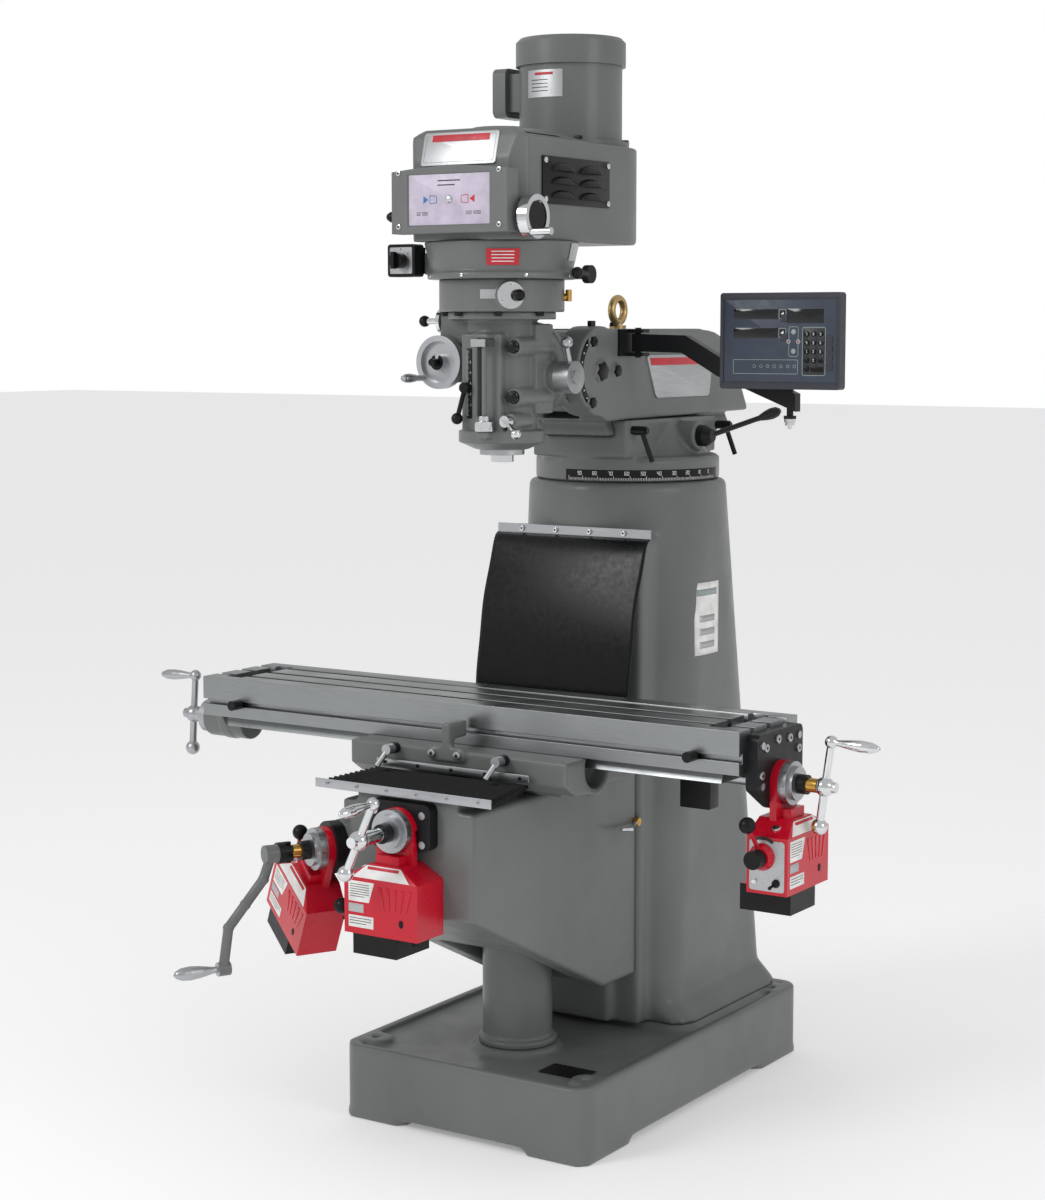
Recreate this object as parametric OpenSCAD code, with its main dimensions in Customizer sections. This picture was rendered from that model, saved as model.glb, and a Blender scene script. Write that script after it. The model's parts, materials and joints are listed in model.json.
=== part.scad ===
// Vertical knee milling machine with turret, sliding ram, tilting head and three power feeds.
// +Z is up, -Y is the operator's side, +X is the operator's right.
// The origin is at the centre of the base's footprint, on the floor. All sizes are in millimetres.

/* [Base and column] */
// Width of the base casting
base_w = 568; // [540:1:680]
// Depth of the base casting, front to back
base_d = 888; // [860:1:1060]
// Height of the base casting
base_h = 150; // [125:1:180]
// Height of the column on the base
column_h = 1096; // [1000:1:1320]
// Radius of the round seat on top of the column
column_r = 204; // [195:1:225]
// Width of the column's foot
column_foot_w = 404; // [360:1:460]
// Width of the machined way up the column's front
way_w = 310; // [300:1:360]

/* [Turret and ram] */
// Radius of the turret's base ring
turret_r = 190; // [170:1:194]
// Width of the ram
ram_w = 210; // [190:1:216]
// Height of the ram
ram_h = 181; // [165:1:215]
// Length of the ram from the nod pivot to its tail
ram_l = 607; // [540:1:720]
// Distance from the turret's axis forward to the spindle
overhang = 470; // [450:1:560]

/* [Head] */
// Radius of the quill
quill_r = 42.85; // [36:0.05:51]
// Radius of the spindle
spindle_r = 22; // [19:0.5:26]
// Radius of the spindle's collet bore
collet_r = 12.05; // [10:0.05:14.5]
// Travel of the quill
quill_travel = 127; // [106:1:152]
// Width of the belt housing
belt_w = 260; // [230:1:312]
// Radius of the motor
motor_r = 101; // [84:1:115]
// Height of the motor, with its fan cover
motor_h = 214; // [180:1:256]

/* [Knee, saddle and table] */
// Length of the knee in front of the column's way
knee_l = 580; // [560:1:700]
// Width of the knee
knee_w = 294; // [250:1:300]
// Height of the knee at its back
knee_h = 426; // [400:1:510]
// Height of the saddle
saddle_h = 78.4; // [74:0.1:94]
// Length of the table
table_l = 1245; // [1040:1:1500]
// Width of the table
table_w = 229; // [220:1:254]
// Thickness of the table's slab
table_t = 80; // [76:1:96]
// Width of a table T-slot's neck
tslot_w = 16; // [13:0.5:19]
// Spacing of the table's T-slots
tslot_pitch = 63.5; // [58:0.5:70]
// Radius of the three feed screws
screw_r = 14; // [12:0.5:16]

/* [Power feeds] */
// Width of a power feed's gearbox
feed_w = 164; // [150:1:172]
// Depth of a power feed's gearbox along its shaft
feed_d = 85; // [80:1:100]
// Radius of a graduated dial
dial_r = 40; // [34:0.5:46]
// Radius of a feed shaft
shaft_r = 11; // [9.5:0.5:12]

/* [Hidden] */
$fn = 64;
// Clearance between parts that slide on flat faces, and between a shaft and its bore
gap = 0.3;
run = 0.05;

// Base and column
foot_h = 13;
tray_depth = 12;
tray_rim = 20;
bolt_x = 2 * 247;
bolt_y = 748;
bolt_hole_r = 9;
column_top = base_h + column_h;
turret_y = 180;
way_y = -27;
way_t = 36;
column_back = base_d / 2 - 4;
column_foot_y = way_y + way_t;
foot_flare = 38;
tongue_w = 190;
tongue_t = 18;
pedestal_r = 69;
spindle_y = turret_y - overhang;
screw_y = -238;
screw_foot = 32;

// Turret, ram and knuckle
ring_h = 50;
slab_h = 75;
ring_z = column_top + gap;
slab_top = ring_z + ring_h + slab_h;
slab_w = ram_w + 10;
slab_y = turret_y - turret_r - 2;
ram_z = slab_top + gap;
nod_y = -97;
nod_z = ram_z + 98.5;
nod_r = 88;
swing_z = nod_z + 5;
tail_y = nod_y + ram_l;
rail_w = 170;
rail_t = 31;

// Head, all heights follow the swing centre
nose_z = swing_z - 175;
barrel_r = quill_r + 24;
barrel_z = nose_z + 37;
barrel_top = nose_z + 284;
ring_r = 119;
gear_z = barrel_top + 61;
gear_h = 70;
belt_z = gear_z + gear_h;
belt_h = 205;
motor_y = -45;
motor_seat = belt_z + 188;
pulley_z = belt_z + 34;
spindle_top = belt_z + belt_h - 20;
belt_front = spindle_y - 136;
belt_back_r = belt_w / 2;
pad_y = spindle_y - barrel_r - 3;
depth_x = 20;
depth_y = pad_y - 20;
pinion_y = spindle_y + quill_r + 11.5;
pinion_z = nose_z + 161;
wheel_x = -111;
wheel_z = nose_z + 189;
flange_y = -207;
flange_r = 92;

// Knee, saddle and table
knee_z = base_h + 108;
knee_top = knee_z + knee_h;
knee_back = way_y - gap;
knee_front = knee_back - knee_l;
guide_t = 22;
knee_guide_w = 236;
saddle_z = knee_top + gap;
saddle_top = saddle_z + saddle_h;
table_z = saddle_top + gap;
table_top = table_z + table_t;
table_x = -54.5;
table_y = spindle_y + 18.5;
table_x0 = table_x - table_l / 2;
table_x1 = table_x + table_l / 2;
table_y0 = table_y - table_w / 2;
table_y1 = table_y + table_w / 2;
table_guide_w = 188;
saddle_w = 400;
saddle_front = table_y0 - 65;
saddle_back = -145;
apron_w = 494;
x_screw_z = table_z - 25;
y_screw_z = knee_top - 38;
z_shaft_z = knee_top - 102;
z_shaft_turn = 28;
z_seat = 384;
feed_tilt = 28;
plate_t = 24;
slot_drop = 51;

casting = [0.36, 0.37, 0.37];
steel = [0.62, 0.63, 0.64];
chrome = [0.85, 0.86, 0.87];
black = [0.09, 0.09, 0.1];
red = [0.8, 0.09, 0.16];
aluminium = [0.72, 0.73, 0.74];
brass = [0.75, 0.58, 0.25];

// A box between two opposite corners
module box(a, b) { translate(a) cube(b - a); }
// Cylinders along one axis, between two stations, at the other two coordinates
module xcyl(r, x0, x1, y, z) { translate([x0, y, z]) rotate([0, 90, 0]) cylinder(r = r, h = x1 - x0); }
module ycyl(r, y0, y1, x, z) { translate([x, y1, z]) rotate([90, 0, 0]) cylinder(r = r, h = y1 - y0); }
module zcyl(r, z0, z1, x, y) { translate([x, y, z0]) cylinder(r = r, h = z1 - z0); }
// A flat rectangle with round corners
module plan(w, d, r) {
    hull() for (x = [-1, 1], y = [-1, 1]) translate([x * (w / 2 - r), y * (d / 2 - r)]) circle(r, $fn = 40);
}
// A plate whose outline is drawn in the Y-Z plane, between two stations on X
module yz_plate(x0, x1) {
    translate([x0, 0, 0]) rotate([90, 0, 90]) linear_extrude(x1 - x0) children();
}
// A plate whose outline is drawn in the X-Z plane, between two stations on Y
module xz_plate(y0, y1) {
    translate([0, y1, 0]) rotate([90, 0, 0]) linear_extrude(y1 - y0) children();
}
// A round bar between two points
module rod(a, b, r) {
    d = b - a;
    translate(a) rotate([0, acos(d.z / norm(d)), atan2(d.y, d.x)]) cylinder(r = r, h = norm(d), $fn = 24);
}
module ball(p, r) { translate(p) sphere(r, $fn = 32); }
// A turned hand grip from point a to point b
module grip(a, b, r) {
    d = b - a;
    l = norm(d);
    translate(a) rotate([0, acos(d.z / l), atan2(d.y, d.x)]) rotate_extrude($fn = 32)
        polygon([[0, 0], [0.45 * r, 0], [0.5 * r, 0.12 * l], [0.85 * r, 0.4 * l], [r, 0.62 * l],
            [0.9 * r, 0.82 * l], [0.5 * r, 0.95 * l], [0, l]]);
}
// A dovetail tongue's section, wide at the tip, with its root on the X axis
module tongue(w, t) { polygon([[-w / 2 + t * 0.45, 0], [w / 2 - t * 0.45, 0], [w / 2, t], [-w / 2, t]]); }
// The slot that a tongue slides in, wider by the clearance all round
module tongue_slot(w, t) {
    polygon([[-w / 2 + t * 0.45 - gap, -1], [w / 2 - t * 0.45 + gap, -1], [w / 2 - t * 0.45 + gap, 0],
        [w / 2 + gap, t + gap], [-w / 2 - gap, t + gap], [-w / 2 + t * 0.45 - gap, 0]]);
}

// ---- Base and column ----

module column_plan(flare = 0) {
    translate([0, (column_foot_y + column_back) / 2])
        plan(column_foot_w + 2 * flare, column_back - column_foot_y, 45);
}
module base() {
    color(casting) difference() {
        translate([0, 0, foot_h]) {
            linear_extrude(base_h - foot_h) plan(base_w, base_d, 42);
            for (x = [-1, 1], y = [-1, 1])
                translate([x * (base_w / 2 - 75), y * (base_d / 2 - 95), -foot_h])
                    linear_extrude(foot_h) plan(148, 188, 30);
        }
        // the tray that drains round the column's foot
        translate([0, 0, base_h - tray_depth]) difference() {
            linear_extrude(tray_depth + 1) plan(base_w - 2 * tray_rim, base_d - 2 * tray_rim, 30);
            translate([0, 0, -1]) linear_extrude(tray_depth + 3) column_plan(foot_flare + 6);
            zcyl(pedestal_r + 16, -1, tray_depth + 3, 0, screw_y);
            for (x = [-1, 1], y = [-1, 1]) zcyl(34, -1, tray_depth + 3, x * bolt_x / 2, y * bolt_y / 2);
        }
        // sealed hollow inside the casting
        difference() {
            box([-base_w / 2 + 26, -base_d / 2 + 26, foot_h + 18], [base_w / 2 - 26, base_d / 2 - 26,
                base_h - tray_depth - 16]);
            for (x = [-1, 1], y = [-1, 1]) zcyl(30, 0, base_h, x * bolt_x / 2, y * bolt_y / 2);
            box([-12, -base_d / 2, 0], [12, base_d / 2, base_h]);
            zcyl(screw_r + 30, 0, base_h, 0, screw_y);
        }
        // well under the pedestal, for the knee screw's lower end
        zcyl(screw_r + 8 + gap, screw_foot - 8, base_h + 1, 0, screw_y);
        for (x = [-1, 1], y = [-1, 1]) zcyl(bolt_hole_r, -1, base_h + 1, x * bolt_x / 2, y * bolt_y / 2);
    }
}
module column() {
    color(casting) difference() {
        union() {
            hull() {
                translate([0, 0, base_h]) linear_extrude(1) column_plan();
                zcyl(column_r, column_top - 96, column_top - 8, 0, turret_y);
            }
            translate([0, turret_y, column_top - 8]) cylinder(r1 = column_r, r2 = column_r - 7, h = 8);
            // flared foot
            hull() {
                translate([0, 0, base_h]) linear_extrude(5) column_plan(foot_flare);
                translate([0, 0, base_h + 44]) linear_extrude(1) column_plan(-3);
            }
            box([-way_w / 2, way_y, base_h], [way_w / 2, column_foot_y + 60, column_top - 108]);
            translate([0, way_y, base_h]) linear_extrude(column_h - 190) rotate(180) tongue(tongue_w, tongue_t);
        }
        // sealed hollow inside the casting
        hull() {
            translate([0, (column_foot_y + column_back) / 2, base_h + 22]) linear_extrude(1)
                plan(column_foot_w - 48, column_back - column_foot_y - 40, 40);
            zcyl(column_r - 26, column_top - 50, column_top - 49, 0, turret_y);
        }
    }
}
module screw_pedestal() {
    color(casting) difference() {
        union() {
            zcyl(pedestal_r + 9, base_h, base_h + 14, 0, screw_y);
            zcyl(pedestal_r, base_h + 14, knee_z + 205, 0, screw_y);
        }
        // the nut's bore, open from top to floor plate
        zcyl(screw_r + 8 + gap, base_h - 1, knee_z + 206, 0, screw_y);
    }
}
module cover_strip() {
    color(aluminium) {
        box([-180, way_y - 8, column_top - 106], [180, way_y - 4, column_top - 88]);
        for (x = [-120, -40, 40, 120]) ycyl(4.5, way_y - 11, way_y - 8, x, column_top - 97);
        box([-way_w / 2 + 20, way_y - 4, column_top - 106], [way_w / 2 - 20, way_y + 2.5, column_top - 88]);
    }
}
module rear_way_cover() {
    sheet_top = column_top - 107;
    sheet_low = saddle_z + 36;
    color(black) yz_plate(-182, 182) polygon([[way_y - 4, sheet_top], [way_y - 10, sheet_top],
        [way_y - 66, sheet_top - 130], [-112, sheet_low + 120], [-132, sheet_low],
        [-126, sheet_low], [-104, sheet_low + 120], [way_y - 56, sheet_top - 130]]);
}

// ---- Turret and ram ----

module turret() {
    color(casting) difference() {
        union() {
            zcyl(turret_r, ring_z, ring_z + ring_h - 6, 0, turret_y);
            translate([0, turret_y, ring_z + ring_h - 6]) cylinder(r1 = turret_r, r2 = turret_r - 8, h = 6);
            box([-slab_w / 2, slab_y, ring_z + ring_h], [slab_w / 2, turret_y + turret_r - 12, slab_top]);
            // the domed flanks beside the slab
            translate([0, turret_y + 22, ring_z + ring_h]) cylinder(r1 = 158, r2 = 118, h = slab_h - 14);
            xcyl(30, 60, 162, turret_y + 17, slab_top - 36);
            for (y = [8, 356]) xcyl(13, 60, slab_w / 2 + 4, y, slab_top - 20);
        }
        translate([0, slab_y - 1, slab_top]) rotate([90, 180, 180])
            linear_extrude(2 * turret_r + 40) tongue_slot(rail_w, rail_t);
        zcyl(60, ring_z + 20, ring_z + ring_h + 8, 0, turret_y);
        xcyl(10 + run, 120, 163, turret_y + 17, slab_top - 36);
    }
}
module ram_pinion_lever() {
    y = turret_y + 17;
    z = slab_top - 36;
    color(black) {
        xcyl(10, 122, 163, y, z);
        xcyl(22, 162 + gap, 176, y, z);
        translate([176, y, z]) rotate([0, 90, 0]) cylinder(r1 = 22, r2 = 13, h = 16);
        rod([184, y, z], [238, y + 139, z + 37], 5.5);
        grip([230, y + 118, z + 31], [254, y + 178, z + 48], 12);
    }
}
module ram_lock(y) {
    z = slab_top - 20;
    x = slab_w / 2 + 4 + gap;
    color(black) {
        xcyl(9, x, x + 30, y, z);
        xcyl(6, x + 30, x + 34, y, z);
        rod([x + 20, y, z], [x + 34, y + 18, z - 62], 5);
    }
}
module ram_lock_front() { ram_lock(8); }
module ram_lock_rear() { ram_lock(356); }
module ram() {
    top = ram_z + ram_h;
    color(casting) difference() {
        union() {
            // side outline: round nose, flat top, tapered tail
            yz_plate(-ram_w / 2, ram_w / 2) difference() {
                union() {
                    translate([nod_y, nod_z]) circle(nod_r);
                    polygon([[nod_y, nod_z - nod_r], [nod_y + 24, ram_z], [tail_y, ram_z + 6],
                        [tail_y, ram_z + 16], [tail_y - 86, top - 26], [tail_y - 150, top - 6],
                        [tail_y - 210, top], [nod_y + 40, top], [nod_y, nod_z + nod_r]]);
                }
                translate([-150, -100]) square([600, 100 + ram_z]);
            }
            translate([0, slab_y - 26, ram_z]) rotate([90, 180, 180])
                linear_extrude(tail_y - slab_y - 10) tongue(rail_w, rail_t);
        }
        // fork for the knuckle's tongue
        translate([0, nod_y, nod_z]) rotate([0, 90, 0]) cylinder(r = nod_r + 8, h = 90 + 2 * gap, center = true);
        box([-45 - gap, nod_y - 100, ram_z - 1], [45 + gap, nod_y, top + 1]);
        // sealed hollow inside the casting
        yz_plate(-ram_w / 2 + 18, ram_w / 2 - 18) polygon([[nod_y + 118, ram_z + 18], [tail_y - 60, ram_z + 18],
            [tail_y - 110, top - 46], [tail_y - 200, top - 20], [nod_y + 118, top - 20]]);
        zcyl(7, top - 30, top + 1, 0, eye_y);
    }
    // bolts on the ram's side
    color(black) for (s = [-1, 1]) {
        for (p = [[-135, 58], [-138, -60]]) side_bolt(s, p[0], nod_z + p[1], 9);
        side_bolt(s, -44, nod_z, 10);
        side_bolt(s, nod_y - 4, nod_z, 17);
    }
}
eye_y = 138;
module side_bolt(s, y, z, r) {
    x = s > 0 ? ram_w / 2 : -ram_w / 2 - 8;
    xcyl(r, x, x + 8, y, z);
}
module eye_bolt() {
    z = ram_z + ram_h;
    color(brass) union() {
        zcyl(17, z, z + 7, 0, eye_y);
        zcyl(6.9, z - 28, z, 0, eye_y);
        zcyl(9, z + 7, z + 14, 0, eye_y);
        translate([0, eye_y, z + 37]) rotate([0, 90, 0]) rotate_extrude() translate([24, 0]) circle(8);
    }
}
dro_y = 5;
dro_x = ram_w / 2;
dro_z = ram_z + ram_h - 27;
module dro_bracket() {
    color(black) difference() {
        union() {
            box([dro_x, dro_y - 42, dro_z - 27], [dro_x + 5, dro_y + 42, dro_z + 26]);
            box([dro_x + 5, dro_y - 13, dro_z + 19], [dro_x + 40, dro_y + 13, dro_z + 26]);
            box([dro_x + 5, dro_y - 13, dro_z - 27], [dro_x + 40, dro_y + 13, dro_z - 20]);
        }
        zcyl(6 + run, dro_z - 28, dro_z + 27, dro_x + 22, dro_y);
    }
}
module dro_arm() {
    h = 34;
    color(black) difference() {
        xz_plate(dro_y - 11, dro_y + 11) polygon([[dro_x + 14, dro_z - 18], [dro_x + 14, dro_z + 17],
            [dro_x + 134, dro_z + 14], [dro_x + 215, dro_z - 30], [dro_x + 374, dro_z - 96],
            [dro_x + 374, dro_z - 96 - h], [dro_x + 205, dro_z - 30 - h], [dro_x + 126, dro_z + 14 - h],
            [dro_x + 34, dro_z - 18]]);
        zcyl(6.5, dro_z - 200, dro_z, dro_x + 358, dro_y);
    }
    // pin through the bracket's two ears
    color(steel) zcyl(6, dro_z - 30, dro_z + 29, dro_x + 22, dro_y);
}
module dro_console() {
    x = dro_x + 358;
    z = dro_z - 80;
    face = -74;
    color([0.13, 0.15, 0.2]) difference() {
        translate([x + 15, face + 25, z + 84]) rotate([90, 0, 0]) linear_extrude(25) plan(250, 180, 6);
        box([x - 105, face - 1, z + 4], [x + 135, face + 2, z + 164]);
    }
    // post, shelf and the pin that turns in the arm's end
    color(black) {
        box([x - 30, face + 25, z + 12], [x + 30, face + 31, z + 120]);
        box([x - 16, face + 31, z + 12], [x + 16, dro_y + 16, z + 19]);
        zcyl(6.5 - run, z - 58, z + 12, x, dro_y);
        zcyl(12, z - 64, z - 58, x, dro_y);
    }
    // keys
    color([0.5, 0.55, 0.6]) {
        for (i = [0:2], j = [0:3])
            box([x + 78 + 17 * i, face, z + 30 + 17 * j], [x + 91 + 17 * i, face + 2, z + 43 + 17 * j]);
        for (j = [0, 1]) box([x + 18, face, z + 84 + 36 * j], [x + 32, face + 2, z + 98 + 36 * j]);
    }
}

// ---- Knuckle and head ----

module knuckle() {
    color(casting) difference() {
        union() {
            ycyl(flange_r, flange_y + gap, flange_y + 22, 0, swing_z);
            hull() {
                ycyl(flange_r - 12, flange_y + 21, flange_y + 22, 0, swing_z);
                box([-ram_w / 2 + 22, nod_y - 60, nod_z - 62], [ram_w / 2 - 22, nod_y - 59, nod_z + 64]);
            }
            xcyl(80, -45, 45, nod_y, nod_z);
        }
        for (s = [0, 1]) mirror([s, 0, 0]) xcyl(nod_r + 2, 45, 130, nod_y, nod_z);
        xcyl(12 + run, -46, 46, nod_y, nod_z);
    }
    color(black) xcyl(12, -45, 45, nod_y, nod_z);
}
module head_casting() {
    color(casting) difference() {
        union() {
            zcyl(barrel_r, barrel_z, barrel_top - 14, 0, spindle_y);
            zcyl(barrel_r + 16, barrel_z, barrel_z + 24, 0, spindle_y);
            translate([0, spindle_y, nose_z + 24]) cylinder(r1 = quill_r + 7, r2 = barrel_r + 12, h = 13);
            zcyl(ring_r - 16, barrel_top - 14, barrel_top, 0, spindle_y);
            // block and flange at the back
            box([-78, spindle_y, nose_z + 92], [78, flange_y - 24, nose_z + 262]);
            ycyl(flange_r, flange_y - 24, flange_y, 0, swing_z);
            // feed gear case on the left
            box([-126, spindle_y - 26, nose_z + 150], [0, spindle_y + 46, barrel_top - 1]);
            box([-140, spindle_y - 28, wheel_z - 26], [-40, spindle_y + 26, wheel_z + 20]);
            // pinion boss and clamp lugs on the right
            xcyl(28, 0, 98, pinion_y, pinion_z);
            for (z = [swing_z + 44, swing_z - 50], x = [68]) ycyl(17, spindle_y - 62, flange_y - 24, x, z);
            ycyl(15, spindle_y - 62, spindle_y, 58, nose_z + 80);
            // front pads beside the depth screw
            box([-46, pad_y, nose_z + 61], [44, spindle_y, nose_z + 244]);
            box([depth_x - 13, depth_y - 10, nose_z + 47], [depth_x + 13, spindle_y, nose_z + 61]);
            box([depth_x - 13, depth_y - 10, nose_z + 234], [depth_x + 13, spindle_y, nose_z + 244]);
        }
        zcyl(quill_r + run, nose_z + 20, nose_z + 250, 0, spindle_y);
        zcyl(quill_r - 12, nose_z + 249, barrel_top + 1, 0, spindle_y);
        xcyl(10 + run, -60, 99, pinion_y, pinion_z);
        // slot for the quill stop
        box([-10, pad_y - 1, nose_z + 84], [10, spindle_y, nose_z + 234]);
    }
    // the fixed end of the depth screw, and the clamp bolts
    color(steel) zcyl(5, nose_z + 60, nose_z + 235, depth_x, depth_y);
    color(black) for (z = [swing_z + 44, swing_z - 50]) ycyl(9, spindle_y - 76, spindle_y - 62, 68, z);
}
// The dial's seat on the front right of the ring
module at_back_gear() { translate([0, spindle_y, barrel_top + 30]) rotate(41) children(); }
module gear_ring() {
    color(casting) difference() {
        zcyl(ring_r, barrel_top, gear_z, 0, spindle_y);
        zcyl(ring_r - 22, barrel_top + 14, gear_z + 1, 0, spindle_y);
        zcyl(quill_r - 12, barrel_top - 1, barrel_top + 15, 0, spindle_y);
        // flat towards the ram's nose
        box([-ring_r, flange_y + 27.5, barrel_top - 1], [ring_r, flange_y + 40, gear_z + 1]);
    }
    color(casting) at_back_gear() ycyl(26, -ring_r - 3, -ring_r + 12, 0, 0);
}
module gear_housing() {
    color(casting) difference() {
        union() {
            zcyl(141, gear_z, gear_z + 12, 0, spindle_y);
            translate([0, spindle_y, gear_z + 12]) cylinder(r1 = 134, r2 = 147, h = gear_h - 12);
            box([-150, -334, gear_z + 10], [-100, -250, gear_z + 52]);
            box([90, -262, gear_z], [158, -226, gear_z + 18]);
        }
        zcyl(110, gear_z - 1, belt_z - 12, 0, spindle_y);
        zcyl(50, belt_z - 13, belt_z + 1, 0, spindle_y);
        xcyl(6 + run, 120, 159, -244, gear_z + 9);
    }
}
module belt_plan(inset) {
    r = belt_back_r - inset;
    w = belt_w - 2 * inset;
    hull() {
        translate([0, motor_y]) circle(r);
        translate([-w / 2, belt_front + inset + 30]) square([w, 60]);
        translate([-w / 2 + 24, belt_front + inset]) square([w - 48, 60]);
    }
}
// The side outline of the belt housing, from its front to the motor seat
module belt_side(inset) {
    rear = motor_y + belt_back_r;
    polygon([[belt_front - 2 + inset, belt_z + inset], [spindle_y - 134 + inset, belt_z + 150],
        [spindle_y - 122 + inset, belt_z + belt_h - 14 - inset], [spindle_y - 112 + inset, belt_z + belt_h - inset],
        [-276, belt_z + belt_h - inset], [-180, motor_seat - inset], [rear, motor_seat - inset],
        [rear - inset, belt_z + 80], [rear - 20 - inset, belt_z + 36], [rear - 58 - inset, belt_z + 7 + inset],
        [rear - 86 - inset, belt_z + inset]]);
}
module belt_shell(inset) {
    intersection() {
        translate([0, 0, belt_z]) linear_extrude(belt_h) belt_plan(inset);
        yz_plate(-belt_w / 2 - 5, belt_w / 2 + 5) belt_side(inset);
        // chamfered top edges
        xz_plate(belt_front - 10, motor_y + belt_back_r + 10)
            polygon([[-belt_w, belt_z], [belt_w, belt_z], [belt_w, belt_z + 178], [belt_w / 2 + 1, belt_z + 186],
                [belt_w / 2 - 34, belt_z + belt_h + 1], [-belt_w / 2 + 34, belt_z + belt_h + 1],
                [-belt_w / 2 - 1, belt_z + 186], [-belt_w, belt_z + 178]]);
    }
}
module belt_housing() {
    color(casting) difference() {
        union() {
            belt_shell(0);
            zcyl(58, belt_z + belt_h, belt_z + belt_h + 8, 0, spindle_y);
            // boss for the speed wheel
            xcyl(13, belt_w / 2 - 8, belt_w / 2 + 10, belt_front + 14, belt_z + 40);
        }
        belt_shell(11);
        zcyl(50, belt_z - 1, belt_z + 12, 0, spindle_y);
        xcyl(7 + run, belt_w / 2 - 40, belt_w / 2 + 11, belt_front + 14, belt_z + 40);
        zcyl(14, motor_seat - 12, motor_seat + 1, 0, motor_y);
        xcyl(6 + run, -belt_w / 2 - 1, -belt_w / 2 + 12, -344, belt_z + 46);
    }
}
module speed_plate() {
    y = belt_front - 2;
    color(casting) difference() {
        xz_plate(y - 38, y) polygon(concat([[-129, belt_z + 12], [129, belt_z + 12]],
            [for (i = [0:12]) [129 - 21.5 * i, belt_z + 126 + 8 * sin(15 * i)]]));
        box([-92, y - 39, belt_z + 26], [92, y - 35, belt_z + 120]);
        box([-110, y - 30, belt_z + 22], [110, y + 1, belt_z + 112]);
    }
    color([0.75, 0.72, 0.8]) box([-92, y - 35, belt_z + 26], [92, y - 34, belt_z + 120]);
}
module louvre_panel() {
    x = belt_w / 2;
    color(black) {
        box([x, -353, belt_z + 67], [x + 3, -116, belt_z + 154]);
        for (y = [-335, -228], z = [belt_z + 84, belt_z + 107, belt_z + 130]) xz_plate(y, y + 88)
            polygon([[x + 3, z], [x + 11, z], [x + 9, z + 6], [x + 3, z + 9]]);
        for (y = [-345, -124], z = [75, 146]) xcyl(4, x + 3, x + 5, y, belt_z + z);
    }
}
module motor() {
    top = motor_seat + motor_h;
    color(casting) {
        difference() {
            union() {
                zcyl(motor_r + 14, motor_seat, motor_seat + 12, 0, motor_y);
                zcyl(motor_r, motor_seat + 12, top - 56, 0, motor_y);
            }
            zcyl(motor_r - 26, motor_seat + 30, top - 70, 0, motor_y);
            zcyl(12 + run, motor_seat - 1, motor_seat + 31, 0, motor_y);
            box([-motor_r - 2, motor_y - 34, motor_seat + 60], [-motor_r + 12, motor_y + 34, motor_seat + 172]);
        }
        translate([0, motor_y, top - 56]) rotate_extrude() polygon([[0, 0], [motor_r + 7, 0], [motor_r + 7, 46],
            [motor_r - 1, 54], [motor_r - 30, 56], [0, 56]]);
        // terminal box and its neck
        box([-motor_r - 22, motor_y - 34, motor_seat + 76], [-motor_r + 11.9, motor_y + 34, motor_seat + 150]);
        translate([-motor_r - 52, motor_y, motor_seat + 113]) rotate([0, 90, 0]) linear_extrude(30) plan(96, 96, 14);
    }
}
module switch_box() {
    color(black) {
        translate([-182, -334, gear_z + 37]) rotate([90, 0, 0]) linear_extrude(30) plan(64, 62, 6);
        box([-214, -334, gear_z + 12], [-150, -328, gear_z + 62]);
    }
    color(aluminium) translate([-182, -364, gear_z + 37]) rotate([90, 0, 0]) linear_extrude(1) plan(52, 50, 3);
}
module switch_knob() {
    color(black) {
        ycyl(15, -384, -365 - gap, -182, gear_z + 37);
        box([-186, -394, gear_z + 21], [-178, -384, gear_z + 53]);
    }
}
module pulley(y, r, bore) {
    color(steel) difference() {
        union() {
            zcyl(r, pulley_z, pulley_z + 14, 0, y);
            zcyl(r - 28, pulley_z + 14, pulley_z + 50, 0, y);
            zcyl(r, pulley_z + 50, pulley_z + 64, 0, y);
        }
        zcyl(bore, pulley_z - 1, pulley_z + 65, 0, y);
    }
}
module motor_pulley() {
    pulley(motor_y, 84, 6);
    color(steel) zcyl(12, pulley_z + 64, motor_seat + 30, 0, motor_y);
}
module spindle_pulley() { pulley(spindle_y, 92, spindle_r + gap); }
module drive_belt() {
    color(black) translate([0, 0, pulley_z + 17]) linear_extrude(30) difference() {
        hull() {
            translate([0, motor_y]) circle(72);
            translate([0, spindle_y]) circle(80);
        }
        hull() {
            translate([0, motor_y]) circle(56 + gap);
            translate([0, spindle_y]) circle(64 + gap);
        }
    }
}
module quill() {
    color(steel) difference() {
        union() {
            zcyl(quill_r, nose_z + 14, nose_z + 248, 0, spindle_y);
            // the stop that meets the depth nut
            box([-9, pad_y - 1, nose_z + 219], [9, spindle_y, nose_z + 233]);
            box([-3, depth_y - 12, nose_z + 219], [depth_x + 10, pad_y - 1, nose_z + 233]);
        }
        zcyl(spindle_r + run, nose_z + 13, nose_z + 249, 0, spindle_y);
        zcyl(5 + gap, nose_z + 218, nose_z + 234, depth_x, depth_y);
    }
}
module spindle() {
    color(chrome) difference() {
        zcyl(spindle_r, nose_z, spindle_top, 0, spindle_y);
        zcyl(collet_r, nose_z - 1, nose_z + 108, 0, spindle_y);
        translate([0, spindle_y, nose_z - 0.1]) cylinder(r1 = collet_r + 4, r2 = collet_r, h = 24);
        zcyl(6, nose_z + 107, spindle_top + 1, 0, spindle_y);
    }
}
module depth_nut() {
    color(chrome) difference() {
        union() {
            zcyl(18, nose_z + 61 + gap, nose_z + 80, depth_x, depth_y);
            zcyl(11, nose_z + 80, nose_z + 90, depth_x, depth_y);
        }
        zcyl(5 + run, nose_z + 61, nose_z + 91, depth_x, depth_y);
    }
}
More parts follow.
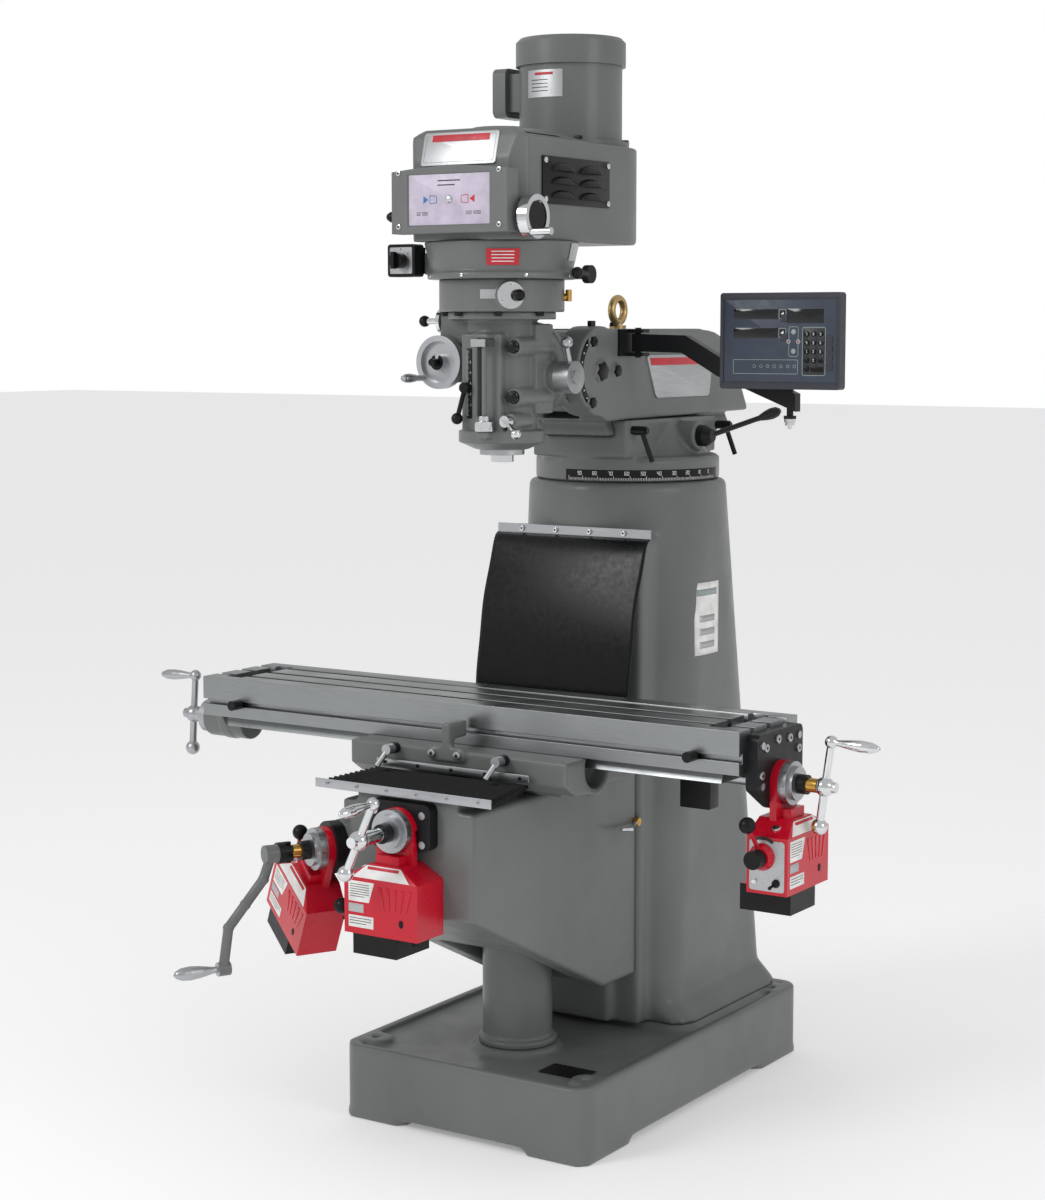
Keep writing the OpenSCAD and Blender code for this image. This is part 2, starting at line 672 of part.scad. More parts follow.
module quill_feed_lever() {
    color(aluminium) {
        xcyl(10, -55, 98 + gap, pinion_y, pinion_z);
        xcyl(31, 98 + gap, 132, pinion_y, pinion_z);
        xcyl(13, 132, 136, pinion_y, pinion_z);
        rod([121, pinion_y - 4, pinion_z + 26], [121, pinion_y - 14, pinion_z + 58], 5);
        ball([121, pinion_y - 15, pinion_z + 66], 12);
    }
}
module quill_handwheel() {
    y = spindle_y - 28 - gap;
    color(aluminium) {
        difference() {
            ycyl(51, y - 26, y - 8, wheel_x, wheel_z);
            ycyl(40, y - 27, y - 16, wheel_x, wheel_z);
        }
        ycyl(15, y - 30, y - 16, wheel_x, wheel_z);
        ycyl(12, y - 8, y, wheel_x, wheel_z);
        ycyl(6, y - 92, y - 26, wheel_x - 34, wheel_z - 30);
        grip([wheel_x - 34, y - 34, wheel_z - 30], [wheel_x - 34, y - 96, wheel_z - 30], 9);
    }
    color(black) ycyl(7, y - 48, y - 30, wheel_x, wheel_z);
}
module quill_lock() {
    x = 58;
    z = nose_z + 80;
    y = spindle_y - 62;
    color(chrome) {
        ycyl(11, y - 18, y - gap, x, z);
        rod([x + 4, y - 12, z - 4], [x + 30, y - 26, z - 20], 5);
        ball([x + 33, y - 28, z - 22], 10);
    }
}
module feed_engage_crank() {
    z = nose_z + 267;
    y = spindle_y - 6;
    color(chrome) {
        xcyl(25, -134, -126 - gap, y, z);
        xcyl(6, -170, -133, y, z);
    }
    color(black) translate([-176, y, z]) rotate(120) sphere(11);
}
module feed_trip_lever() {
    color(black) {
        ycyl(10, pad_y - 14, pad_y - gap, -32, nose_z + 142);
        rod([-34, pad_y - 9, nose_z + 134], [-42, pad_y - 18, nose_z + 88], 4.5);
        ball([-43, pad_y - 19, nose_z + 84], 11);
    }
}
module speed_handwheel() {
    y = belt_front + 14;
    z = belt_z + 40;
    x = belt_w / 2 + 10 + gap;
    color(chrome) {
        xcyl(7, x - 34, x, y, z);
        difference() {
            xcyl(40, x, x + 20, y, z);
            xcyl(30, x + 16, x + 21, y, z);
        }
        xcyl(7, x + 20, x + 62, y - 20, z - 28);
    }
    color(black) xcyl(28, x + 16, x + 18, y, z);
}
module brake_lever() {
    z = belt_z + 46;
    x = -belt_w / 2 - gap;
    color(black) {
        xcyl(6, x - 4, x + 11, -344, z);
        xcyl(13, x - 12, x, -344, z);
        rod([x - 8, -346, z], [x - 44, -356, z + 2], 6);
        grip([x - 36, -354, z + 2], [x - 84, -367, z + 4], 11);
    }
}
module back_gear_knob() {
    y = -ring_r - 3;
    at_back_gear() {
        color(chrome) ycyl(25, y - 9, y - gap, 0, 0);
        color(black) {
            rod([13, y - 9, 0], [13, y - 20, 0], 5);
            ball([13, y - 28, 0], 11);
        }
    }
}
module range_lever() {
    z = gear_z + 9;
    color(black) {
        xcyl(6, 122, 158 + gap, -244, z);
        xcyl(17, 158 + gap, 172, -244, z);
        rod([166, -252, z], [166, -280, z + 2], 7);
        ball([166, -286, z + 2], 11);
    }
}

// ---- Ball crank and power feed, shaft along +X, outward ----

// A two-ball crank whose hub is centred on the origin
module ball_crank(lean) {
    top = [lean, 0, 82];
    low = [-lean * 0.8, 0, -74];
    union() {
        sphere(18);
        rod([0, 0, 0], top, 7);
        rod([0, 0, 0], low, 7.5);
        ball(top, 12);
        ball(low, 15);
        xcyl(10, 0, 23, 0, 0);
        grip(top, top + [96, 0, -4], 11);
    }
}
// The dial, nut and collar that turn with a feed shaft, from the dial's back face
module dial_stack() {
    color(aluminium) {
        xcyl(dial_r, 0, 15, 0, 0);
        xcyl(dial_r - 9, 15, 24, 0, 0);
    }
    color(black) xcyl(18, 24, 42, 0, 0);
    color(brass) xcyl(13, 42, 62, 0, 0);
}
module feed_body() {
    w = feed_w / 2;
    difference() {
        union() {
            // ring and neck
            color(red) xcyl(dial_r + 1, plate_t, plate_t + 14, 0, 0);
            color(red) box([plate_t + 0.1, -26, -70], [plate_t + 36, 26, -dial_r - 4]);
            color(red) box([plate_t + 0.1, -dial_r - 1, -70], [plate_t + 14, dial_r + 1, 0]);
            // shoulders and gearbox
            color(red) hull() {
                box([0.5, -34, -61], [feed_d - 16, 34, -60]);
                box([0.5, -w, -87], [feed_d - 3, w, -86]);
            }
            color(red) box([0.5, -w, -190], [feed_d - 3, w, -87]);
            color(red) box([-22, -w + 18, -190], [0.5, 34, -180]);
            // cap
            color(black) box([-22, -w + 18, -228], [feed_d - 5, 34, -190]);
        }
        xcyl(shaft_r + run, -1, plate_t + 20, 0, 0);
    }
}
// The bolted plate that carries a feed
module feed_plate(w, up, low, down) {
    color(black) difference() {
        yz_plate(0, plate_t) hull() {
            for (s = [-1, 1]) {
                translate([s * (w / 2 - 14), up - 14]) circle(14);
                translate([s * (w / 2 - 14), low]) circle(14);
            }
            circle(down);
        }
        xcyl(shaft_r + run, -1, plate_t + 1, 0, 0);
    }
    color(steel) for (s = [-1, 1], z = [up - 20, low - 2]) xcyl(7, plate_t, plate_t + 3, s * (w / 2 - 17), z);
}
// The lever's ball stands up from its axis and leans out along the shaft
module feed_lever(up = 62, lean = -11) {
    w = feed_w / 2 + gap;
    x = 32;
    z = -122;
    color(red) {
        ycyl(25, -w - 4, -w, x, z);
        translate([x, -w - 4, z]) rotate([90, 0, 0]) cylinder(r1 = 25, r2 = 20, h = 12);
        rod([x + 0.3 * lean, -w - 12, z + 0.3 * up], [x + 0.9 * lean, -w - 34, z + 0.87 * up], 4);
    }
    color(black) ball([x + lean, -w - 38, z + up], 15);
}
module feed_knob() {
    color(black) ycyl(17, -feed_w / 2 - 42, -feed_w / 2 - 16 - 2 * gap, 32, -122);
}
// Where each feed stands: its plate's back face is on the local origin
module on_x() { translate([table_x1, table_y, x_screw_z]) children(); }
module on_y() { translate([0, knee_front, y_screw_z]) rotate(-90) children(); }
module on_z() {
    translate([-z_seat * sin(z_shaft_turn), screw_y - z_seat * cos(z_shaft_turn), z_shaft_z])
        rotate(-90 - z_shaft_turn) children();
}

// ---- Knee ----

module knee_side() {
    polygon([[knee_back, knee_z], [-150, knee_z], [knee_front, knee_top - 200], [knee_front, knee_top],
        [knee_back, knee_top]]);
}
module knee() {
    color(casting) difference() {
        union() {
            yz_plate(-knee_w / 2, knee_w / 2) knee_side();
            translate([0, knee_back - 4, knee_top]) rotate([90, 0, 0])
                linear_extrude(knee_l - 4) tongue(knee_guide_w, guide_t);
            // angled boss for the lifting shaft
            on_z() xcyl(52, -150, 0, 0, 0);
        }
        // slot on the column's tongue
        translate([0, way_y, knee_z - 1]) linear_extrude(knee_h + guide_t + 2) rotate(180)
            tongue_slot(tongue_w, tongue_t);
        // pocket over the screw pedestal
        box([-94, screw_y - 96, knee_z - 1], [94, screw_y + 96, knee_z + 300]);
        box([-94, screw_y - 130, knee_z - 1], [94, screw_y, knee_z + 120]);
        // channel for the cross screw
        box([-30, knee_front + 27, y_screw_z - 30], [30, way_y - 45, knee_top + guide_t + 1]);
        ycyl(shaft_r + run, knee_front - 1, knee_front + 28, 0, y_screw_z);
        // sealed hollow behind the front wall
        yz_plate(-knee_w / 2 + 22, knee_w / 2 - 22) polygon([[screw_y - 155, knee_z + 160],
            [knee_front + 22, knee_top - 180], [knee_front + 22, y_screw_z - 48], [screw_y - 155, y_screw_z - 48]]);
        // seat of the lifting feed's plate, and its shaft's bore
        on_z() box([0, -90, -260], [160, 90, 62]);
        on_z() xcyl(shaft_r + run, -60, 1, 0, 0);
    }
}
module knee_lock() {
    x = knee_w / 2 + gap;
    z = knee_top - 112;
    color(brass) xcyl(8, x, x + 12, -36, z);
    color(chrome) rod([x + 6, -38, z], [x + 20, -82, z - 6], 4);
    color(chrome) rod([x + 20, -82, z - 6], [x + 24, -128, z + 2], 4);
    color(chrome) ball([x + 20, -82, z - 6], 5);
}
module knee_screw() {
    color(steel) zcyl(screw_r + 8, screw_foot, knee_z + 299, 0, screw_y);
}
module y_feed() {
    on_y() {
        feed_plate(140, 50, -22, 50);
        feed_body();
    }
}
module y_feed_lever() { on_y() feed_lever(-34, 8); }
module y_crank() {
    on_y() {
        translate([plate_t + 14 + gap, 0, 0]) dial_stack();
        color(chrome) translate([145, 0, 0]) rotate([-28, 0, 0]) ball_crank(8);
        color(chrome) xcyl(13, 100, 130, 0, 0);
        color(steel) xcyl(shaft_r, -26, plate_t + 14 + gap, 0, 0);
    }
    color(steel) ycyl(screw_r, knee_front + 28, way_y - 60, 0, y_screw_z);
    color(steel) ycyl(shaft_r, knee_front + 26, knee_front + 28, 0, y_screw_z);
}
module z_feed() {
    on_z() rotate([-feed_tilt, 0, 0]) {
        color(black) difference() {
            xcyl(50, 0, plate_t, 0, 0);
            xcyl(shaft_r + run, -1, plate_t + 1, 0, 0);
        }
        feed_body();
    }
}
module z_feed_lever() { on_z() rotate([-feed_tilt, 0, 0]) feed_lever(); }
module z_crank() {
    on_z() {
        translate([plate_t + 14 + gap, 0, 0]) dial_stack();
        color(steel) xcyl(shaft_r, -58, plate_t + 14 + gap, 0, 0);
        color(black) difference() {
            xcyl(20, 100, 126, 0, 0);
            for (a = [0:60:300]) rotate([a, 0, 0]) box([99, 15, -4], [112, 25, 4]);
        }
        // the arm bends down in the shaft's own upright plane
        bends = [[140, 0, -8], [154, 0, -46], [191, 0, -90], [225, 0, -130], [236, 0, -204]];
        color(casting) {
            xcyl(17, 126, 152, 0, 0);
            for (i = [0:3]) rod(bends[i], bends[i + 1], 9.5);
            for (i = [1:3]) translate(bends[i]) rotate(100) sphere(10.5);
            xcyl(13, 224, 248, 0, -206);
        }
        color(aluminium) grip([247, 0, -206], [334, 0, -206], 13);
    }
}

// ---- Saddle ----

module saddle() {
    // the end of the front beam: a sloping chin and a round lobe
    module beam_end() {
        polygon(concat([[saddle_front, saddle_top], [saddle_front, saddle_z + 34], [saddle_front + 34, saddle_z + 12]],
            [for (a = [240:12:336]) [saddle_front + 108 + 52 * cos(a), saddle_z + 53 + 52 * sin(a)]],
            [[saddle_front + 176, saddle_top]]));
    }
    color(casting) difference() {
        union() {
            box([-saddle_w / 2, saddle_front + 60, saddle_z], [saddle_w / 2, saddle_back, saddle_top]);
            yz_plate(-apron_w / 2, apron_w / 2) beam_end();
        }
        // slot on the knee's guide, and the slot that the table's guide runs in
        translate([0, 0, saddle_z]) rotate([90, 0, 0]) translate([0, 0, -saddle_back - 1])
            linear_extrude(saddle_back - saddle_front + 2) tongue_slot(knee_guide_w, guide_t);
        translate([-apron_w / 2 - 1, table_y, saddle_top]) rotate([90, 180, 90])
            linear_extrude(apron_w + 2) tongue_slot(table_guide_w, guide_t);
        // tunnel for the table screw and pockets in the ends
        difference() {
            xcyl(screw_r + 6, -apron_w, apron_w, table_y, x_screw_z);
            box([-32, table_y - 60, saddle_z], [32, table_y + 60, saddle_top + 1]);
        }
        xcyl(screw_r + gap, -40, 40, table_y, x_screw_z);
        for (s = [0, 1]) mirror([s, 0, 0]) xcyl(40, apron_w / 2 - 34, apron_w / 2 + 1, saddle_front + 108, saddle_z + 56);
    }
    // nut for the cross screw
    color(casting) difference() {
        box([-26, table_y - 30, y_screw_z - 22], [26, table_y + 30, saddle_z + guide_t + gap]);
        ycyl(screw_r + gap, table_y - 31, table_y + 31, 0, y_screw_z);
    }
    // table stop post with its two screws
    post_x = -16;
    color(casting) {
        translate([post_x, saddle_front, saddle_top - 6]) rotate([90, 0, 0]) linear_extrude(9) plan(86, 28, 13);
        box([post_x - 9, saddle_front - 9, saddle_top - 6], [post_x + 9, saddle_front + 10, table_z + 52]);
        box([post_x - 9, saddle_front - 9, table_z + 20], [post_x + 9, table_y0 - 12, table_z + 52]);
    }
    color(steel) for (s = [-1, 1]) ycyl(7, saddle_front - 12, saddle_front - 9, post_x + s * 29, saddle_top - 6);
}
module front_bellows() {
    back = saddle_front - 10;
    front = knee_front - 18;
    color(black) hull() {
        box([-172, back - 2, saddle_z + 27], [172, back, saddle_z + 33]);
        box([-197, front, saddle_z + guide_t + 1], [197, front + 2, saddle_z + guide_t + 6]);
    }
    color(black) box([-197, front, knee_top + 14], [197, front + 8, saddle_z + guide_t + 5]);
}
module saddle_lock(x) {
    y = saddle_front - gap;
    z = saddle_top - 6;
    color(black) ycyl(11, y - 12, y, x, z);
    color(aluminium) {
        ycyl(10, y - 32, y - 12, x, z);
        rod([x - 3, y - 26, z - 5], [x - 12, y - 46, z - 31], 5.5);
    }
}
module saddle_lock_left() { saddle_lock(-138); }
module saddle_lock_right() { saddle_lock(112); }

// ---- Table ----

module table() {
    neck = 20;
    foot = 12;
    trough = 40;
    color(steel) difference() {
        union() {
            box([table_x0, table_y0, table_z], [table_x1, table_y1, table_top]);
            translate([table_x0 + 46, table_y, table_z]) rotate([90, 180, 90])
                linear_extrude(table_l - 92) tongue(table_guide_w, guide_t);
        }
        for (i = [-1, 0, 1]) translate([0, table_y + i * tslot_pitch, 0]) {
            box([table_x0 - 1, -tslot_w / 2, table_top - neck - foot], [table_x1 + 1, tslot_w / 2, table_top + 1]);
            box([table_x0 - 1, -tslot_w / 2 - 6, table_top - neck - foot],
                [table_x1 + 1, tslot_w / 2 + 6, table_top - neck]);
        }
        // coolant troughs across both ends
        for (x = [table_x0 + 40, table_x1 - 40 - trough])
            box([x, table_y0 + 26, table_top - 14], [x + trough, table_y1 - 26, table_top + 1]);
        // slot along the front for the stops
        box([table_x0 - 1, table_y0 - 1, table_top - slot_drop - 5], [table_x1 + 1, table_y0 + 8, table_top - slot_drop + 5]);
        box([table_x0 - 1, table_y0 + 7, table_top - slot_drop - 9], [table_x1 + 1, table_y0 + 13, table_top - slot_drop + 9]);
        // room for the screw
        box([table_x0 - 1, table_y - 26, table_z - guide_t - 1], [table_x1 + 1, table_y + 26, table_z + 8]);
    }
}
module table_stops() {
    color(black) for (x = [table_x0 + 96, table_x1 - 92]) {
        ycyl(10, table_y0 - 26, table_y0, x, table_top - slot_drop);
        box([x - 12, table_y0 + 8, table_top - slot_drop - 8], [x + 12, table_y0 + 12.5, table_top - slot_drop + 8]);
        ycyl(4.5, table_y0, table_y0 + 8, x, table_top - slot_drop);
    }
}
module left_bracket() {
    color(casting) difference() {
        union() {
            translate([table_x0, table_y, x_screw_z]) mirror([1, 0, 0]) yz_plate(0, 22) hull() {
                for (s = [-1, 1]) translate([s * 76, 78]) circle(14);
                circle(42);
            }
            xcyl(40, table_x0 - 68, table_x0 - 22, table_y, x_screw_z);
            difference() {
                xcyl(40, table_x0, table_x0 + 36, table_y, x_screw_z);
                box([table_x0 - 1, table_y - 60, table_z], [table_x0 + 60, table_y + 60, table_z + 60]);
            }
        }
        xcyl(shaft_r + run, table_x0 - 80, table_x0 + 40, table_y, x_screw_z);
    }
}
module table_screw() {
    color(steel) {
        xcyl(screw_r, table_x0 + 40, table_x1 - 4, table_y, x_screw_z);
        xcyl(shaft_r, table_x0 - 68 - gap, table_x0 + 40, table_y, x_screw_z);
        xcyl(shaft_r, table_x1 - 4, table_x1 + plate_t + 14 + gap, table_y, x_screw_z);
    }
}
module x_cranks() {
    on_x() {
        translate([plate_t + 14 + gap, 0, 0]) dial_stack();
        color(chrome) translate([113, 0, 0]) ball_crank(12);
    }
    translate([table_x0 - 68 - gap, table_y, x_screw_z]) mirror([1, 0, 0]) {
        color(aluminium) {
            xcyl(dial_r - 6, 0, 18, 0, 0);
            xcyl(16, 18, 44, 0, 0);
            translate([58, 0, 0]) ball_crank(-6);
        }
    }
}
module x_feed() {
    on_x() {
        feed_plate(178, 96, 4, 50);
        feed_body();
    }
}
module x_feed_lever() { on_x() feed_lever(); }
module x_feed_knob() { on_x() feed_knob(); }

base();
column();
screw_pedestal();
cover_strip();
rear_way_cover();
turret();
ram_pinion_lever();
ram_lock_front();
ram_lock_rear();
ram();
eye_bolt();
dro_bracket();
dro_arm();
dro_console();
knuckle();
head_casting();
gear_ring();
gear_housing();
belt_housing();
speed_plate();
louvre_panel();
motor();
switch_box();
switch_knob();
motor_pulley();
spindle_pulley();
drive_belt();
quill();
spindle();
depth_nut();
quill_feed_lever();
quill_handwheel();
quill_lock();
feed_engage_crank();
feed_trip_lever();
speed_handwheel();
brake_lever();
back_gear_knob();
range_lever();
knee();
knee_lock();
knee_screw();
z_feed();
z_feed_lever();
z_crank();
y_feed();
y_feed_lever();
y_crank();
saddle();
front_bellows();
saddle_lock_left();
saddle_lock_right();
table();
table_stops();
left_bracket();
table_screw();
x_cranks();
x_feed();
x_feed_lever();
x_feed_knob();
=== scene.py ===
"""Knee milling machine: finishes, cast skins, covers, plates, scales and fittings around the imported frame."""

import json
from math import cos, pi, radians, sin, tau

import bmesh
import bpy
import numpy as np
from mathutils import Matrix, Vector


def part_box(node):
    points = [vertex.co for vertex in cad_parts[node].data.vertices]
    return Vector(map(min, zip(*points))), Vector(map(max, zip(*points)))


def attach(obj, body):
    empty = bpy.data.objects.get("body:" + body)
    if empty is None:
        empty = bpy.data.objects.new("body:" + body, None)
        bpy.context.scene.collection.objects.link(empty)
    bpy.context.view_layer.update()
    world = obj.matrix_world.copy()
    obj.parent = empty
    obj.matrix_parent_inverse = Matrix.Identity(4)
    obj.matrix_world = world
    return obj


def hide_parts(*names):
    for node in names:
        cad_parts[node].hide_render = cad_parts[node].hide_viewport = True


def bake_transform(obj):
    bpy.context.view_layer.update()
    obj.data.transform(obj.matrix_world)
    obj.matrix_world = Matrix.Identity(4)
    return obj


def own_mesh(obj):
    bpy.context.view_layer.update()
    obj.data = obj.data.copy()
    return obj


bl_info = {
    "name": "Knee Milling Machine",
    "version": (1, 0, 0),
    "blender": (4, 5, 0),
    "location": "3D View > Sidebar > Milling Machine",
    "description": "Finishes and details for a knee milling machine's frame",
    "category": "Object",
}

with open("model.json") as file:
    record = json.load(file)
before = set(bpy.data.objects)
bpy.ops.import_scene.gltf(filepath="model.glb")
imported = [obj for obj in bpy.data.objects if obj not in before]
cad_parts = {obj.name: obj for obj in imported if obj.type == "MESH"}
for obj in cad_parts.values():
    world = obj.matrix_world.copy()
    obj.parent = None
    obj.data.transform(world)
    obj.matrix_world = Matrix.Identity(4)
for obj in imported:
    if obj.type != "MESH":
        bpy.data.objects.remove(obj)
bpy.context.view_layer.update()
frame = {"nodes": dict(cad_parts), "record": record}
NODES = frame["nodes"]
RECORD = frame["record"]["behaviour"]
BODY_OF = {n: b for b, members in RECORD["bodies"].items() for n in members}
MM = 0.001


# ---- Measures from the frame, in millimetres ----

def low(node):
    """A node's lowest corner."""
    return np.array(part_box(node)[0]) / MM


def high(node):
    """A node's highest corner."""
    return np.array(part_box(node)[1]) / MM


def pivot(name):
    """A point on a joint's axis."""
    return np.array([j["pos_m"] for j in RECORD["joints"] if j["name"] == name][0]) / MM


def axis(name):
    """A joint's axis."""
    return np.array([j["axis"] for j in RECORD["joints"] if j["name"] == name][0], float)


# ---- Places ----

def facing(origin, normal, up=(0, 0, 1)):
    """A flat place: local Z along the normal, local Y as near to up as can be, local X to the right."""
    z = np.array(normal, float) / np.linalg.norm(normal)
    x = np.cross(up, z)
    x /= np.linalg.norm(x)
    m = np.eye(4)
    m[:3, 0], m[:3, 1], m[:3, 2], m[:3, 3] = x, np.cross(z, x), z, origin
    return m


def shifted(place, x=0.0, y=0.0, z=0.0, turn=0.0):
    """The same place moved along its own axes, and turned about its own Z by some degrees."""
    m = np.eye(4)
    c, s = cos(radians(turn)), sin(radians(turn))
    m[:2, :2] = [[c, -s], [s, c]]
    m[:3, 3] = x, y, z
    return place @ m


def shaft_place(origin, outward, tilt=0.0):
    """A feed's own axes: X outward along its shaft, Z up, then tilted about the shaft by some degrees."""
    x = np.array(outward, float) / np.linalg.norm(outward)
    m = np.eye(4)
    m[:3, 0], m[:3, 1], m[:3, 2], m[:3, 3] = x, np.cross((0, 0, 1), x), (0, 0, 1), origin
    c, s = cos(radians(tilt)), sin(radians(tilt))
    t = np.eye(4)
    t[1:3, 1:3] = [[c, -s], [s, c]]
    return m @ t


def moved(points, place):
    return points if place is None else points @ place[:3, :3].T + place[:3, 3]


# ---- Outlines ----

def rounded(corners, radius, steps=5):
    """An outline through corners, each rounded by a curve that leaves the sides at the radius from it."""
    p = np.array(corners, float)
    before, after = np.roll(p, 1, 0) - p, np.roll(p, -1, 0) - p
    before /= np.linalg.norm(before, axis=1, keepdims=True)
    after /= np.linalg.norm(after, axis=1, keepdims=True)
    t = np.linspace(0, 1, steps)[None, :, None]
    a, b = (p + before * radius)[:, None], (p + after * radius)[:, None]
    return ((1 - t) ** 2 * a + 2 * t * (1 - t) * p[:, None] + t ** 2 * b).reshape(-1, 2)


def oblong(w, h, r=2.0):
    return rounded([(-w / 2, -h / 2), (w / 2, -h / 2), (w / 2, h / 2), (-w / 2, h / 2)], r)


def regular(r, sides, turn=0.0):
    a = radians(turn) + np.arange(sides) * tau / sides
    return np.stack([r * np.cos(a), r * np.sin(a)], 1)


# ---- Forms ----

class Form:
    """Points and faces of one piece, gathered from grids. All points are in millimetres."""

    def __init__(self):
        self.points, self.faces, self.finishes, self.count = [], [], [], 0

    def grid(self, p, place=None, close_u=False, close_v=False, caps=False, finish=0):
        """A surface through an array of points, rows along u and columns along v. Each face joins four
        neighbours; closing a direction joins its last points to its first. Caps fill the first and last rows."""
        p = moved(np.asarray(p, float), place)
        nu, nv = p.shape[:2]
        index = np.arange(nu * nv).reshape(nu, nv) + self.count
        ends = index[0, ::-1], index[-1]
        if close_u:
            index = np.vstack([index, index[:1]])
        if close_v:
            index = np.hstack([index, index[:, :1]])
        quads = np.stack([index[:-1, :-1], index[:-1, 1:], index[1:, 1:], index[1:, :-1]], -1).reshape(-1, 4)
        faces = quads.tolist() + ([e.tolist() for e in ends] if caps else [])
        self.points.append(p.reshape(-1, 3))
        self.faces += faces
        self.finishes += [finish] * len(faces)
        self.count += nu * nv
        return self

    def quads(self, p, place=None, finish=0):
        """Separate four-sided marks; p has one row of four corners for each."""
        p = moved(np.asarray(p, float), place)
        faces = (np.arange(len(p) * 4).reshape(-1, 4) + self.count).tolist()
        self.points.append(p.reshape(-1, 3))
        self.faces += faces
        self.finishes += [finish] * len(faces)
        self.count += len(p) * 4
        return self

    def slab(self, outline, thick, place, finish=0, edge=0.6):
        """A flat piece on a place, its outline drawn anticlockwise, its top edge rounded over by edge."""
        o = np.asarray(outline, float)
        side = np.roll(o, -1, 0) - np.roll(o, 1, 0)
        inward = np.stack([-side[:, 1], side[:, 0]], 1) / np.linalg.norm(side, axis=1, keepdims=True)
        rows = [(0, 0), (0, thick - edge), (0.3 * edge, thick - 0.3 * edge), (edge, thick)]
        p = [np.column_stack([o + inward * i, np.full(len(o), z)]) for i, z in rows]
        return self.grid(p, place, close_v=True, caps=True, finish=finish)

    def border(self, outline, width, thick, place, finish=0):
        """A raised line round an outline."""
        o = np.asarray(outline, float)
        side = np.roll(o, -1, 0) - np.roll(o, 1, 0)
        inward = np.stack([-side[:, 1], side[:, 0]], 1) / np.linalg.norm(side, axis=1, keepdims=True)
        rows = [(0, 0), (0, thick), (width, thick), (width, 0)]
        p = [np.column_stack([o + inward * i, np.full(len(o), z)]) for i, z in rows]
        return self.grid(p, place, close_u=True, close_v=True, finish=finish)

    def turned(self, profile, place, finish=0, steps=40):
        """A profile of heights and radii swept once round local Z."""
        z, r = np.array(profile, float).T
        a = np.arange(steps) * tau / steps
        p = np.stack([r[:, None] * np.cos(a), r[:, None] * np.sin(a), np.repeat(z[:, None], steps, 1)], -1)
        return self.grid(p, place, close_v=True, caps=True, finish=finish)

    def rod(self, path, radius, finish=0, steps=16, place=None):
        """A round section swept along a path; the radius may change along it."""
        p = np.array(path, float)
        t = np.gradient(p, axis=0)
        t /= np.linalg.norm(t, axis=1, keepdims=True)
        up = np.array((0, 0, 1.0)) if abs(t[:, 2]).max() < 0.9 else np.array((0.31, 0.95, 0))
        n = np.cross(t, up)
        n /= np.linalg.norm(n, axis=1, keepdims=True)
        b = np.cross(t, n)
        a = np.arange(steps) * tau / steps
        r = np.broadcast_to(radius, len(p))[:, None, None]
        ring = p[:, None] + r * (np.cos(a)[None, :, None] * b[:, None] - np.sin(a)[None, :, None] * n[:, None])
        return self.grid(ring, place, close_v=True, caps=True, finish=finish)

    def band(self, radius, start, end, z0, z1, thick, place, finish=0, steps=32, flare=0.0):
        """A strip bent round local Z, between two angles in degrees; flare is how much wider its top is."""
        a = np.radians(np.linspace(start, end, steps))
        out = radius + thick
        section = [(radius, z0), (out, z0), (out + flare, z1), (radius + flare, z1)]
        p = [[(r * cos(i), r * sin(i), z) for r, z in section] for i in a]
        return self.grid(p, place, close_v=True, caps=True, finish=finish)

    def screw(self, place, r, h, finish=0, socket=1):
        """A socket-head screw: a low round head with its six-sided socket drawn as a thin raised hexagon; where
        that hexagon's finish is dark on a bright head, it is painted shade for the recess.
        """
        self.turned([(0, r), (0.75 * h, r), (0.93 * h, 0.95 * r), (h, 0.85 * r), (h, 0.02)], place, finish, 24)
        # the hexagon stands in for the socket's recess; a dark socket finish on a bright head is painted shade
        return self.slab(regular(0.46 * r, 6), 0.12, shifted(place, z=h - 0.06), socket, 0.02)

    def nut(self, place, r, h, finish=0, turn=0.0):
        """A six-sided head with its corners turned off, on a washer."""
        self.turned([(0, 1.18 * r), (0.14 * h, 1.18 * r)], place, finish, 32)
        return self.slab(regular(r, 6, turn), h, place, finish, 0.12 * r)

    def object(self, name, body, finishes, smooth=35, bevel=0, segments=2, replaces=()):
        """The piece, in metres, riding on its body, with its finishes and its edges rounded if asked."""
        mesh = bpy.data.meshes.new(name)
        mesh.from_pydata((np.vstack(self.points) * MM).tolist(), [], self.faces)
        for f in finishes:
            mesh.materials.append(finish(f))
        mesh.polygons.foreach_set("material_index", np.array(self.finishes, np.int32))
        obj = bpy.data.objects.new(name, mesh)
        bpy.context.scene.collection.objects.link(obj)
        mesh.shade_smooth()
        mesh.set_sharp_from_angle(angle=radians(smooth))
        if bevel:
            add_bevel(obj, bevel, segments)
        if replaces:
            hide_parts(*replaces)
        if body:
            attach(obj, body)
        return obj


def add_bevel(obj, width, segments=2, angle=35):
    """Rounds the edges that turn by more than the angle."""
    m = obj.modifiers.new("Rounded edges", "BEVEL")
    m.width, m.segments = width * MM, segments
    m.limit_method, m.angle_limit = "ANGLE", radians(angle)
    m.use_clamp_overlap = True
    m.harden_normals = True
    return m


# ---- Marks ----

STROKES = {"a": ((0, 2), (1, 2)), "b": ((1, 1), (1, 2)), "c": ((1, 0), (1, 1)), "d": ((0, 0), (1, 0)),
           "e": ((0, 0), (0, 1)), "f": ((0, 1), (0, 2)), "g": ((0, 1), (1, 1))}
DIGITS = ["abcdef", "bc", "abged", "abgcd", "fgbc", "afgcd", "afgedc", "abc", "abcdefg", "abcdfg"]


def bars(lines, width):
    """One four-cornered bar for each straight line of two points."""
    p = np.asarray(lines, float)
    d = p[:, 1] - p[:, 0]
    d /= np.linalg.norm(d, axis=1, keepdims=True)
    n = np.stack([-d[:, 1], d[:, 0]], 1) * width / 2
    return np.stack([p[:, 0] - n - d * width / 2, p[:, 1] - n + d * width / 2,
                     p[:, 1] + n + d * width / 2, p[:, 0] + n - d * width / 2], 1)


